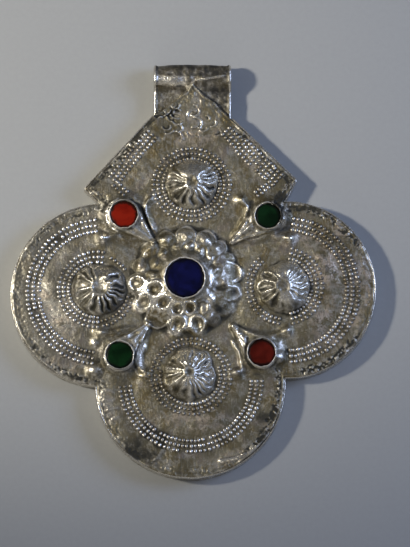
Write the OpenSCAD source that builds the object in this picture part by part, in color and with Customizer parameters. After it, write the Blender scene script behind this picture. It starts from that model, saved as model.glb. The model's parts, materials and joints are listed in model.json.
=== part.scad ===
// A silver amulet pendant lying on its back: a shallow hollow box with three round lobes and a pointed
// top, a raised front sheet that carries five glass stones in collars, and a folded strip as its bail.
// The back face is at z = 0, the front faces +Z and the bail points to +Y.

/* [Box] */
// Radius of the left lobe
left_r = 22.9; // [22:0.1:23.5]
// Radius of the right lobe
right_r = 22.15; // [21.5:0.1:23]
// Radius of the bottom lobe
bottom_r = 23.5; // [22.8:0.1:24]
// Height of the front sheet's plain face above the back face
face_z = 4.5; // [4.4:0.1:5.5]
// Thickness of the sheet silver
sheet = 0.65; // [0.5:0.05:0.7]
// Width of the wall top that shows outside the front sheet
ledge = 0.35; // [0.2:0.05:0.5]

/* [Bail] */
// Width of the strip that makes the bail
bail_w = 19.2; // [16:0.2:20]
// Radius of the hole that the cord passes through
eye_r = 2.1; // [2.05:0.05:2.2]
// Thickness of the strip
strip = 0.55; // [0.5:0.05:0.6]
// How far the hem along each side of the strip stands proud
hem = 0.3; // [0.1:0.05:0.3]

/* [Raised work] */
// Radius of a fluted boss
boss_r = 6.5; // [5.5:0.1:7]
// Height of a fluted boss above the sheet
boss_h = 3.3; // [2.5:0.1:4]
// Flutes round a boss
flutes = 13; // [11:1:16]
// Radius of the flower over its outer petals
flower_r = 13.5; // [12:0.1:14]
// Height of the flower's flat top above the sheet
flower_h = 3.7; // [3:0.1:4.5]
// Petals in the outer row
outer_petals = 16; // [12:1:17]
// Petals in the inner row
inner_petals = 13; // [8:1:14]
// Height of a corner setting above the sheet
setting_h = 1.6; // [1.2:0.1:2]

/* [Stones] */
// Radius of the middle stone
centre_stone_r = 4.9; // [4.4:0.05:5]
// Radius of the largest corner stones
corner_stone_r = 3.4; // [3:0.05:3.5]
// Thickness of a stone at its edge
stone_t = 0.7; // [0.6:0.1:0.9]
// Wall of the collar that holds a stone
collar = 0.35; // [0.3:0.05:0.5]
// How far a collar's rim stands above its stone
collar_rise = 0.3; // [0.2:0.05:0.4]

/* [Hidden] */

// Clearance between pieces that touch in the real thing
gap = 0.1;
wall_t = 0.8;
join = 0.02;

// How deep a collar's foot goes into the raised work, and the rim of raised work outside it
collar_foot = 0.5;
seat_rim = 0.2;

left_lobe = [-22.35, -6.0];
right_lobe = [23.1, -4.65];
bottom_lobe = [-0.7, -28.2];

// The pointed top, from the left corner over the apex to the right corner and back through the middle
left_corner = [-27.3, 20.6];
left_hip = [-9.7, 39.6];
right_hip = [9.4, 38.8];
right_corner = [25.8, 22.9];
right_notch = [23.0, 17.6];
left_notch = [-24.1, 17.6];
middle = [-0.8, -6.0];
apex = [[-3.3, 43.8], [-1.0, 45.5], [3.2, 43.4]];

// Where the fluted bosses stand
bosses = [[-0.4, 21.7], [-23.4, -4.8], [21.7, -4.1], [-0.8, -25.8]];
flower_at = [-2.1, -2.5];

// A corner setting runs from its tip beside the flower out to its stone, whose radius comes third
tip = 0;
stone = 1;
glass_r = 2;
top_left = [[-9.9, 7.2], [-17.2, 13.9], corner_stone_r];
top_right = [[9.6, 7.2], [18.5, 13.5], corner_stone_r - 0.25];
bottom_left = [[-11.2, -13.6], [-18.2, -21.3], corner_stone_r];
bottom_right = [[9.5, -13.1], [16.9, -20.7], corner_stone_r];
settings = [top_left, top_right, bottom_left, bottom_right];

// A horn beside the setting: distance along it from the stone, distance to its side, radius
horn = [[-9.4, 0.6, 0.5], [-6.0, 3.3, 0.8], [-3.5, 4.4, 0.9], [-1.5, 7.2, 1.5]];
along = 0;
beside = 1;
thick = 2;
setting_tip_r = 0.9;
setting_base_r = 5.0;

// How full a boss's dome is, and how its flutes are cut
dome_fullness = 2.6;
dome_shoulder = 0.7;
flute_depth = 0.45;
flute_roundness = 0.6;

// The flower's rows: distance in from its rim or out from its stone, petal radius and height
outer_row = 2.4;
outer_petal_r = 2.5;
inner_row = 2.9;
inner_petal_r = 2.0;
petal_h = 1.25;
petal_sink = 0.15;
row_turn = 11;

// Round swellings beside three of the stones: x, y and radius
swellings = [[-24.4, -24.9, 1.8], [21.6, -21.6, 1.5], [22.6, 12.8, 1.5]];

wall_top = face_z - sheet - gap;
eye_out = eye_r + strip + hem;
bail_top = 51.7;
eye_y = bail_top - eye_out;
eye_z = eye_out + 0.05;
bail_x = -0.2;
leg_end = 33;
hem_w = 1.1;
front_leg_z = face_z - sheet - gap - hem - strip;
back_leg_z = sheet + gap + hem;

centre_seat = face_z + flower_h;
corner_seat = face_z + setting_h;
collar_h = gap + stone_t + collar_rise;

function moved_in(p, q, d) =
    let (v = (q - p) / norm(q - p)) [v[1], -v[0]] * d;

function crossing(a, b, c, e) =
    let (r = b - a, s = e - c, k = r[0] * s[1] - r[1] * s[0], w = c - a)
    a + r * (w[0] * s[1] - w[1] * s[0]) / k;

// A clockwise outline with each side moved in by d
function inset(points, d) =
    let (n = len(points))
    [for (i = [0:n - 1])
        let (a = points[(i + n - 1) % n], b = points[i], c = points[(i + 1) % n])
        let (u = moved_in(a, b, d), w = moved_in(b, c, d))
        crossing(a + u, b + u, b + w, c + w)];

function gable(top) = concat([left_corner, left_hip], top,
    [right_hip, right_corner, right_notch, middle, left_notch]);

module lobes(d) {
    translate(left_lobe) circle(r = left_r - d, $fn = 96);
    translate(right_lobe) circle(r = right_r - d, $fn = 96);
    translate(bottom_lobe) circle(r = bottom_r - d, $fn = 96);
    polygon([left_notch + [3, -3], right_notch + [-3, -3], bottom_lobe + [5, 0], bottom_lobe + [-5, 0]]);
}

module outline(d, top = []) {
    lobes(d);
    polygon(inset(gable(top), d));
}

// A round relief whose height is a function of radius and angle, closed by a flat base below the sheet's face
module polar_relief(r_max, rings, spokes, height) {
    sink = 0.3;
    top = [for (i = [1:rings]) for (j = [0:spokes - 1])
        let (r = r_max * i / rings, a = 360 * j / spokes)
        [r * cos(a), r * sin(a), i == rings ? -sink / 2 : height(r, a)]];
    base = [for (j = [0:spokes - 1]) let (a = 360 * j / spokes) [r_max * cos(a), r_max * sin(a), -sink]];
    points = concat([[0, 0, height(0, 0)]], top, base);
    fan = [for (j = [0:spokes - 1]) [0, 1 + (j + 1) % spokes, 1 + j]];
    bands = [for (i = [0:rings - 1]) for (j = [0:spokes - 1])
        let (a = 1 + i * spokes + j, b = 1 + i * spokes + (j + 1) % spokes)
        each [[a, b, b + spokes], [a, b + spokes, a + spokes]]];
    floor = [[for (j = [0:spokes - 1]) 1 + rings * spokes + j]];
    polyhedron(points = points, faces = concat(fan, bands, floor), convexity = 6);
}

// A smooth rise from 0 at a to 1 at b
function ease(a, b, x) =
    let (t = min(1, max(0, (x - a) / (b - a)))) t * t * (3 - 2 * t);

// A dome that is flat on top and steep at its foot, with round flutes that start a third of the way out
function boss_height(r, a) =
    let (
        u = r / boss_r,
        dome = boss_h * pow(max(0, 1 - pow(u, dome_fullness)), dome_shoulder),
        groove = 1 - pow(abs(cos(a * flutes / 2)), flute_roundness)
    )
    dome * (1 - flute_depth * groove * ease(0.3, 0.6, u));

// The height of one row of round petals at a radius and angle
function petal(r, a, count, row_r, petal_r, petal_h) =
    let (
        step = 360 / count,
        off = a - step * round(a / step),
        x = r * cos(off) - row_r,
        y = r * sin(off),
        d2 = (x * x + y * y) / (petal_r * petal_r)
    )
    petal_h * pow(max(0, 1 - d2), 0.6);

function flower_height(r, a) =
    let (
        mound = flower_h * (1 - ease(centre_stone_r + 0.6, flower_r - 0.4, r)),
        outer = petal(r, a, outer_petals, flower_r - outer_row, outer_petal_r, petal_h),
        inner = petal(r, a + row_turn, inner_petals, centre_stone_r + inner_row, inner_petal_r, petal_h)
    )
    mound * (1 - petal_sink * ease(centre_stone_r, centre_stone_r + 1.5, r)) + max(outer, inner);

module boss() {
    polar_relief(boss_r, 6, flutes * 4, function (r, a) boss_height(r, a));
}

module flower() {
    polar_relief(flower_r, 12, outer_petals * 6, function (r, a) flower_height(r, a));
}

module along_setting(s) {
    run = s[stone] - s[tip];
    translate(s[stone]) rotate(atan2(run[1], run[0])) children();
}

module horn_ridge(side) {
    for (i = [0:len(horn) - 2])
        hull() for (p = [horn[i], horn[i + 1]])
            translate([p[along], side * p[beside], 0]) sphere(r = p[thick], $fn = 10);
}

module corner_setting(s) {
    reach = norm(s[stone] - s[tip]);
    along_setting(s) {
        hull() {
            cylinder(r1 = setting_base_r, r2 = s[glass_r] + collar + seat_rim, h = setting_h, $fn = 36);
            translate([-reach, 0, 0]) sphere(r = setting_tip_r, $fn = 10);
        }
        horn_ridge(1);
        horn_ridge(-1);
    }
}

// A ring round a stone, turned a little so that its corners don't fall on the raised work's spokes
module stone_collar(r) {
    turn = 1.3;
    translate([0, 0, -collar_foot]) rotate(turn) difference() {
        cylinder(r = r + gap + collar, h = collar_h + collar_foot, $fn = 48);
        translate([0, 0, -join]) cylinder(r = r + gap, h = collar_h + collar_foot + 2 * join, $fn = 48);
    }
}

// The raised work is hollow behind, its walls thicker at the foot than over the top
module hollows() {
    foot = 1;
    top = 0.8;
    translate([0, 0, face_z - sheet - join]) {
        for (p = bosses) translate(p)
            cylinder(r1 = boss_r - foot, r2 = boss_r - 4 * foot, h = boss_h - top, $fn = 24);
        translate(flower_at)
            cylinder(r1 = flower_r - 2 * foot, r2 = centre_stone_r - collar, h = flower_h, $fn = 36);
        for (s = settings) along_setting(s)
            cylinder(r1 = setting_base_r - foot, r2 = s[glass_r] - collar, h = setting_h, $fn = 24);
    }
}

module front_plate() {
    color("silver") difference() {
        union() {
            translate([0, 0, face_z - sheet]) linear_extrude(sheet) outline(ledge, apex);
            translate([0, 0, face_z]) {
                for (p = bosses) translate(p) boss();
                translate(flower_at) flower();
                intersection() {
                    union() {
                        for (s = settings) corner_setting(s);
                        for (k = swellings) translate([k[0], k[1], 0]) sphere(r = k[2], $fn = 14);
                    }
                    translate([-50, -60, -join]) cube([100, 110, 2 * setting_h]);
                }
            }
            translate([flower_at[0], flower_at[1], centre_seat]) stone_collar(centre_stone_r);
            for (s = settings)
                translate([s[stone][0], s[stone][1], corner_seat]) stone_collar(s[glass_r]);
        }
        hollows();
    }
}

module back_plate() {
    color("dimgray") union() {
        linear_extrude(sheet) outline(0);
        translate([0, 0, sheet - join]) difference() {
            linear_extrude(wall_top - sheet + join) outline(0);
            translate([0, 0, -join]) linear_extrude(wall_top) outline(wall_t);
            translate([bail_x - bail_w / 2 - gap, leg_end, -join]) cube([bail_w + 2 * gap, 10, wall_top]);
        }
    }
}

// The bail's side view: a round eye with two flat legs, its hole open to the gap between the legs
module strip_profile(proud) {
    leg = eye_y - leg_end;
    difference() {
        union() {
            translate([eye_y, eye_z]) circle(r = eye_r + strip + proud, $fn = 72);
            translate([leg_end, front_leg_z]) square([leg, strip + proud]);
            translate([leg_end, back_leg_z - proud]) square([leg, strip + proud]);
        }
        translate([eye_y, eye_z]) circle(r = eye_r, $fn = 72);
        translate([leg_end - 1, back_leg_z + strip]) square([leg + 1, front_leg_z - back_leg_z - strip]);
    }
}

module along_bail(from, width, proud) {
    translate([from, 0, 0]) rotate([90, 0, 90]) linear_extrude(width) strip_profile(proud);
}

module bail() {
    left = bail_x - bail_w / 2;
    color("silver") union() {
        along_bail(left, bail_w, 0);
        along_bail(left, hem_w, hem);
        along_bail(left + bail_w - hem_w, hem_w, hem);
    }
}

// A flat glass stone with a rounded edge, lying a little below its collar's rim
module glass(at, seat, r) {
    crown = 0.2;
    dome = 0.05;
    translate([at[0], at[1], seat + gap]) rotate_extrude($fn = 72)
        polygon([[0, 0], [r, 0], [r, stone_t - crown], [r - crown, stone_t], [0, stone_t + dome]]);
}

module corner_glass(s) {
    glass(s[stone], corner_seat, s[glass_r]);
}

module stone_centre() {
    color("navy") glass(flower_at, centre_seat, centre_stone_r);
}

module stone_top_left() {
    color("firebrick") corner_glass(top_left);
}

module stone_top_right() {
    color("darkgreen") corner_glass(top_right);
}

module stone_bottom_left() {
    color("darkgreen") corner_glass(bottom_left);
}

module stone_bottom_right() {
    color("firebrick") corner_glass(bottom_right);
}

front_plate();
back_plate();
bail();
stone_centre();
stone_top_left();
stone_top_right();
stone_bottom_left();
stone_bottom_right();
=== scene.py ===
import json
import math

import bpy
import numpy as np
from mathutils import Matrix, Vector
from mathutils.geometry import delaunay_2d_cdt

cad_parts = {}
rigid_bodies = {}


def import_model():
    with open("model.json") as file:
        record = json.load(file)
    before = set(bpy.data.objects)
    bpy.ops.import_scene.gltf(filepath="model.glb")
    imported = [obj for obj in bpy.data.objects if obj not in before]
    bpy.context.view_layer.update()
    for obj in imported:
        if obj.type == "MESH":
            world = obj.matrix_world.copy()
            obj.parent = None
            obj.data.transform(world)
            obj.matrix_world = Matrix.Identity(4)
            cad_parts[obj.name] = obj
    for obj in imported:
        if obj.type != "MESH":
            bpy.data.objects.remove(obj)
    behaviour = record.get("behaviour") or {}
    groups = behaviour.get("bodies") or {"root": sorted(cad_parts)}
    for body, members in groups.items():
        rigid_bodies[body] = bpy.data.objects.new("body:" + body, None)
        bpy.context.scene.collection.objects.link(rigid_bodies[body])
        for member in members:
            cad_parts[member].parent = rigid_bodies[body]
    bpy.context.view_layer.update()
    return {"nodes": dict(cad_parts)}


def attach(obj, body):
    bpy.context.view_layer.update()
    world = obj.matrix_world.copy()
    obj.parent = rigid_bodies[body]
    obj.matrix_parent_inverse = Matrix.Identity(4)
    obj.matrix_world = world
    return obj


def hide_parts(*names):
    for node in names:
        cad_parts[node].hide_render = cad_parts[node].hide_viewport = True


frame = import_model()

mm = 0.001
body = "root"
cadNodes = frame["nodes"]
print("stage: CAD frame loaded,", len(cadNodes), "nodes")

# Heights of the box, in millimetres above the surface it lies on
box = {
    "face": 4.5,        # plain face of the front sheet
    "sheet": 0.65,
    "ledge": 0.35,      # how far the front sheet stays inside the wall
}

# The lobes and the pointed top, as in the CAD
lobes = [((-22.35, -6.0), 22.9), ((23.1, -4.65), 22.15), ((-0.7, -28.2), 23.5)]
gable = {
    "left": [(-27.3, 20.6), (-9.7, 39.6)],
    "apex": [(-8.2, 40.6), (-4.9, 43.0), (-3.3, 44.5), (-1.8, 45.3), (-0.9, 46.8), (-0.1, 47.3), (1.7, 45.7),
             (3.1, 44.4), (5.6, 42.7), (7.5, 40.6)],
    "right": [(9.4, 38.8), (25.8, 22.9), (23.0, 17.6)],
    "inside": [(-0.8, -6.0), (-24.1, 17.6)],
}
underFlower = [(-21.1, 14.6), (20.0, 14.6), (4.3, -28.2), (-5.7, -28.2)]

bail = {
    "width": 19.2, "x": -0.2, "eyeR": 2.1, "strip": 0.55, "hem": 0.24, "hemWide": 0.9,
    "eye": (48.75, 3.0), "legEnd": 33.0, "frontLeg": 2.9, "backLeg": 1.05, "leaves": 2.2, "bend": 2.6,
}


def ease(a, b, x):
    t = np.clip((x - a) / (b - a), 0, 1)
    return t * t * (3 - 2 * t)


def softNoise(x, y, cell, seed):
    # smooth noise from -1 to 1 whose bumps are about one cell across
    side = 256
    table = np.random.default_rng(7000 + seed).uniform(-1, 1, (side + 1, side + 1))
    u, v = np.asarray(x) / cell + side / 2, np.asarray(y) / cell + side / 2
    i, j = np.floor(u).astype(int), np.floor(v).astype(int)
    fu, fv = u - i, v - j
    fu, fv = fu * fu * (3 - 2 * fu), fv * fv * (3 - 2 * fv)
    i, j = i % side, j % side
    low = table[j, i] * (1 - fu) + table[j, i + 1] * fu
    high = table[j + 1, i] * (1 - fu) + table[j + 1, i + 1] * fu
    return low * (1 - fv) + high * fv


def bell(d, half, power=2):
    return np.exp(-(d / half) ** power)


def turnedFrom(angle, middle):
    # degrees between two directions
    return np.abs((angle - middle + 180) % 360 - 180)


def fromLine(x, y, a, b):
    # how far along from a to b the nearest point lies, from 0 to 1, and how far away it is
    ex, ey = b[0] - a[0], b[1] - a[1]
    t = np.clip(((x - a[0]) * ex + (y - a[1]) * ey) / (ex * ex + ey * ey), 0, 1)
    return t, np.hypot(x - a[0] - t * ex, y - a[1] - t * ey)


# The front sheet is worked out on a fine grid of heights above its plain face, in millimetres
gridStep = 0.1
gridArea = {"x": (-46, 46), "y": (-53, 50)}
gridX, gridY = (np.arange(low, high + gridStep / 2, gridStep) for low, high in gridArea.values())
sheetX, sheetY = np.meshgrid(gridX, gridY)
relief = np.zeros_like(sheetX)
grime = np.zeros_like(sheetX)       # 1 where dirt sits, and where shade is painted
polish = np.zeros_like(sheetX)      # 1 where the silver is rubbed bright, and where a highlight is painted
pale = np.zeros_like(sheetX)        # 1 under a pale matt patina
dullAndShaded = np.zeros_like(sheetX)        # 1 where raised work isn't rubbed, and where it is dulled as painted shade


def windowAt(at, reach):
    ix = int((at[0] - reach - gridX[0]) / gridStep), int((at[0] + reach - gridX[0]) / gridStep) + 2
    iy = int((at[1] - reach - gridY[0]) / gridStep), int((at[1] + reach - gridY[0]) / gridStep) + 2
    return slice(max(0, iy[0]), iy[1]), slice(max(0, ix[0]), ix[1])


def nearPoint(at, reach):
    # the part of the grid near a point, with its places seen from there
    part = windowAt(at, reach)
    return part, sheetX[part] - at[0], sheetY[part] - at[1]


def besideLine(a, b, reach):
    # the part of the grid beside a line, and how far from the line its places lie
    part = windowAt(((a[0] + b[0]) / 2, (a[1] + b[1]) / 2), reach + math.hypot(b[0] - a[0], b[1] - a[1]) / 2)
    return part, fromLine(sheetX[part], sheetY[part], a, b)[1]


def sheetNoise(cell, seed, part=slice(None)):
    return softNoise(sheetX[part], sheetY[part], cell, seed)


def gridValue(grid, x, y):
    u = np.clip((np.asarray(x) - gridX[0]) / gridStep, 0, len(gridX) - 1.001)
    v = np.clip((np.asarray(y) - gridY[0]) / gridStep, 0, len(gridY) - 1.001)
    i, j = u.astype(int), v.astype(int)
    fu, fv = u - i, v - j
    return ((grid[j, i] * (1 - fu) + grid[j, i + 1] * fu) * (1 - fv)
            + (grid[j + 1, i] * (1 - fu) + grid[j + 1, i + 1] * fu) * fv)


# Slow waves and hammer marks of the plain sheet
sheetWaves = {"slow": (9.0, 0.16), "middle": (3.6, 0.07), "quick": (1.3, 0.018)}
for n, (cell, lift) in enumerate(sheetWaves.values()):
    relief += lift * softNoise(sheetX + 0.3 * sheetY, sheetY, cell, n)

# Each lobe stands a little higher inside its outer beads: middle and rise, then where the rise starts and
# ends
lobeRise = {"left": ((-23.1, -5.3), 0.32), "right": ((23.0, -4.8), 0.35), "bottom": ((-0.7, -27.6), 0.35)}
riseFrom, riseTo = 15.5, 11.0
for (cx, cy), high in lobeRise.values():
    r = np.hypot(sheetX - cx, sheetY - cy) + 0.8 * sheetNoise(5.0, 12)
    relief += high * ease(riseFrom, riseTo, r)

# A fluted boss: a dome with hollow flutes between sharp ridges, finer on one side, worn smooth here and there
bossWork = {
    # towards: where the flutes are finest; leaves and streaks: how deep the flutes are on the left and on
    # the right; smooth: directions where they are worn away; crest: a raised edge beside the top with a
    # painted highlight. Other values set a painted highlight on the streaked side, how dark the hollows
    # are on either side (dirt and painted shade), and the side that is darkened as painted shade
    "top": {"at": (-0.3, 21.9), "paintedGlow": 1.3, "flutes": 15, "swing": 4.2, "towards": 0.1, "turn": 0.35,
            "spot": 1.5, "leaves": 1.0, "streaks": 0.85, "dirtAndShade": (0.8, 0.45), "smooth": [(92, 52, 0.9)],
            "seed": 21},
    "left": {"at": (-23.3, -4.6), "paintedGlow": 0.15, "flutes": 16, "swing": 3.6, "towards": 0.2, "turn": 0.9,
             "spot": 1.8, "leaves": 0.9, "streaks": 0.9, "dirtAndShade": (0.6, 1.4), "smooth": [(75, 30, 0.9)],
             "seed": 22, "crest": (25, 50, 2.9), "shadow": -30, "cap": 2.7},
    "right": {"at": (22.3, -4.2), "paintedGlow": 1.7, "flutes": 16, "swing": 5.4, "towards": 0.1, "turn": 0.1,
              "spot": 1.7, "leaves": 1.0, "streaks": 0.75, "dirtAndShade": (0.75, 0.35),
              "smooth": [(95, 30, 0.9), (-80, 34, 0.9)], "seed": 23},
    "bottom": {"at": (-1.0, -26.0), "paintedGlow": 1.6, "flutes": 16, "swing": 3.4, "towards": 0.0, "turn": 0.6,
               "spot": 1.1, "leaves": 0.8, "streaks": 0.8, "dirtAndShade": (0.7, 0.4),
               "smooth": [(108, 26, 0.5), (-100, 30, 0.4)], "seed": 24},
}
bossForm = {
    "radius": 6.6, "height": 4.0, "flute": 0.85, "vein": 0.2, "dimple": 0.2, "lip": 0.14, "rough": 0.1,
}


def raiseBoss(at, flutes, swing, towards, turn, spot, leaves, streaks, paintedGlow, dirtAndShade, smooth, seed,
              crest=None, shadow=-90, cap=0):
    form = bossForm
    part, x, y = nearPoint(at, form["radius"] + 0.8)
    x, y = x + 0.3 * softNoise(x, y, 2.1, seed), y + 0.3 * softNoise(x, y, 2.1, seed + 9)
    r, a = np.hypot(x, y), np.arctan2(y, x)
    draw = np.random.default_rng(seed).uniform(0, 2 * math.pi, 6)

    # hollows between the ridges, with a vein along the middle of each broad one
    uneven = 0.10 * np.sin(2 * a + draw[0]) + 0.07 * np.sin(3 * a + draw[1]) + 0.05 * np.sin(5 * a + draw[2])
    leafy = ease(0.2, 0.8, -np.cos(a - towards))
    phase = (flutes * (a + uneven) + swing * np.sin(a - towards)) / 2 + turn
    phase += 0.35 * (1 - leafy) * np.sin(2.4 * r + draw[1])
    hollow = np.abs(np.cos(phase)) ** (2.4 - 1.65 * leafy)
    vein = bell(np.sin(phase), 0.22)
    strength = leaves * leafy + streaks * (1 - leafy)
    for middle, half, much in smooth:
        strength = strength * (1 - much * ease(half * 1.5, half * 0.6, turnedFrom(np.degrees(a), middle)))
    strength = strength * (1 + 0.25 * np.sin(7 * a + draw[4]) + 0.2 * softNoise(x, y, 1.6, seed + 3))

    u = r / (form["radius"] * (1 + 0.03 * np.sin(3 * a + draw[5]) + 0.02 * np.sin(5 * a + draw[3])))
    onDome = u < 1
    dome = form["height"] * np.clip(1 - np.maximum(u, cap / form["radius"]) ** 2.1, 0, 1) ** 0.8
    start = spot * (1 + 0.5 * (1 - hollow))
    end = 6.1 - 1.3 * (1 - hollow) ** 1.5
    along = ease(start, start + 0.9, r) * ease(end + 0.4, end - 0.8, r)
    cut = hollow - form["vein"] / form["flute"] * vein * leafy
    lift = dome - form["flute"] * strength * cut * along
    lift += form["lip"] * bell(r - spot, 0.4) * strength - form["dimple"] * bell(r, spot * 0.8, 4)
    lift += form["rough"] * softNoise(x, y, 0.9, seed + 5) * ease(1.05, 0.9, u)
    relief[part] += np.clip(lift, 0, None) * onDome

    # painted shade darkens and dulls the side of the dome that faces the shadow direction; the hollows are
    # darker, dirt and painted shade, and the centre is darker; wear and painted highlights brighten the
    # ridges, the streaked side and a ring round the centre
    shade = ease(0.2, 0.95, np.cos(a - math.radians(shadow))) * ease(0.35, 0.8, u)
    inHollow = (dirtAndShade[0] * leafy + dirtAndShade[1] * (1 - leafy)) * (hollow ** 2 - 0.5 * vein * leafy)
    grime[part] += (inHollow * along * strength + 0.5 * shade + 0.6 * bell(r, spot, 4)) * ease(1.02, 0.9, u)
    dullAndShaded[part] = np.maximum(dullAndShaded[part], onDome * np.maximum(bell(r / spot, 1.2, 4), 0.9 * shade))
    rubbedAndLit = (0.15 + paintedGlow * (1 - leafy) * ease(0.7 * spot, 1.5 * spot, r)
              + 1.1 * (1 - hollow) * along * strength)
    rubbedAndLit += 0.7 * vein * leafy * along
    rubbedAndLit += 0.15 * bell(r - spot, 0.5)
    polish[part] += (1 - 0.8 * shade * (0.3 + 0.7 * hollow)) * onDome * rubbedAndLit
    # the crest is raised and gets a painted highlight
    if crest:
        middle, half, away = crest
        onCrest = bell(r - away, 0.65) * ease(half * 1.2, half * 0.6, np.abs(np.degrees(a) - middle))
        relief[part] += 0.55 * onCrest
        dullAndShaded[part] *= 1 - onCrest
        polish[part] += 1.6 * onCrest
        grime[part] -= 0.5 * onCrest


for work in bossWork.values():
    raiseBoss(**work)
print("stage: bosses raised")

# The flower: a mound with an outer and an inner ring of petals
flower = {
    "at": (-1.85, -2.5), "radius": 13.4, "height": 3.7, "cushion": 1.9, "flat": 5.5, "slope": (-145, 48),
    "fall": 0.41, "web": 0.42, "petal": 0.5, "knob": 0.85, "rim": 0.4, "pit": 1.0,
    # each row: angle, distance, size, how deep its pit, how high its knob and how sharp its rim
    "petals": [
        (-176, 12.0, 1.55, 1.0, 0, 0.0), (-153, 11.7, 1.75, 1.0, 0, 0.0), (-127, 11.3, 3.0, 0.1, 0, 1.0),
        (-101, 11.3, 1.9, 1.0, 0, 0.3), (-75, 11.4, 1.85, 0.8, 0, 0.2), (-54, 11.2, 2.4, 0.1, 0.3, 0.0),
        (-34, 11.2, 2.8, 0.1, 0.3, 0.0), (-13, 11.0, 2.8, 0.2, 0.3, 0.0), (9, 11.4, 2.7, 0.3, 0, 1.0),
        (28, 11.3, 2.0, 0.25, 0.2, 0.6), (46, 11.4, 2.0, 0.1, 0.5, 0.8), (64, 11.1, 2.5, 0.1, 0.7, 1.0),
        (90, 10.9, 2.6, 0.15, 0.5, 1.0), (115, 11.2, 2.3, 0.1, 0.8, 0.9), (139, 11.6, 2.0, 0.1, 0.4, 0.5),
        (162, 11.6, 2.1, 0.1, 0.5, 0.6),
        (-163, 8.0, 1.8, 1.0, 0, 0), (-133, 8.0, 1.65, 1.0, 0, 0), (-105, 7.6, 1.5, 1.0, 0, 0),
        (-82, 7.1, 1.35, 1.0, 0, 0), (-58, 8.0, 1.6, 0.3, 0.4, 0.3), (-36, 7.9, 1.8, 0.1, 0.7, 0.2),
        (-8, 8.1, 1.9, 0.4, 0.3, 0.3), (18, 8.0, 1.8, 0.1, 0.7, 0.2), (41, 8.4, 1.7, 0.1, 0.7, 0.2),
        (62, 8.4, 1.8, 0.1, 0.5, 0.5), (84, 8.4, 1.9, 0.1, 0.6, 0.6), (106, 8.3, 1.7, 0.1, 0.7, 0.1),
        (129, 8.4, 1.8, 0.1, 0.8, 0), (151, 8.4, 1.7, 0.1, 0.9, 0), (174, 8.2, 1.6, 0.1, 0.8, 0)],
}


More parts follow.
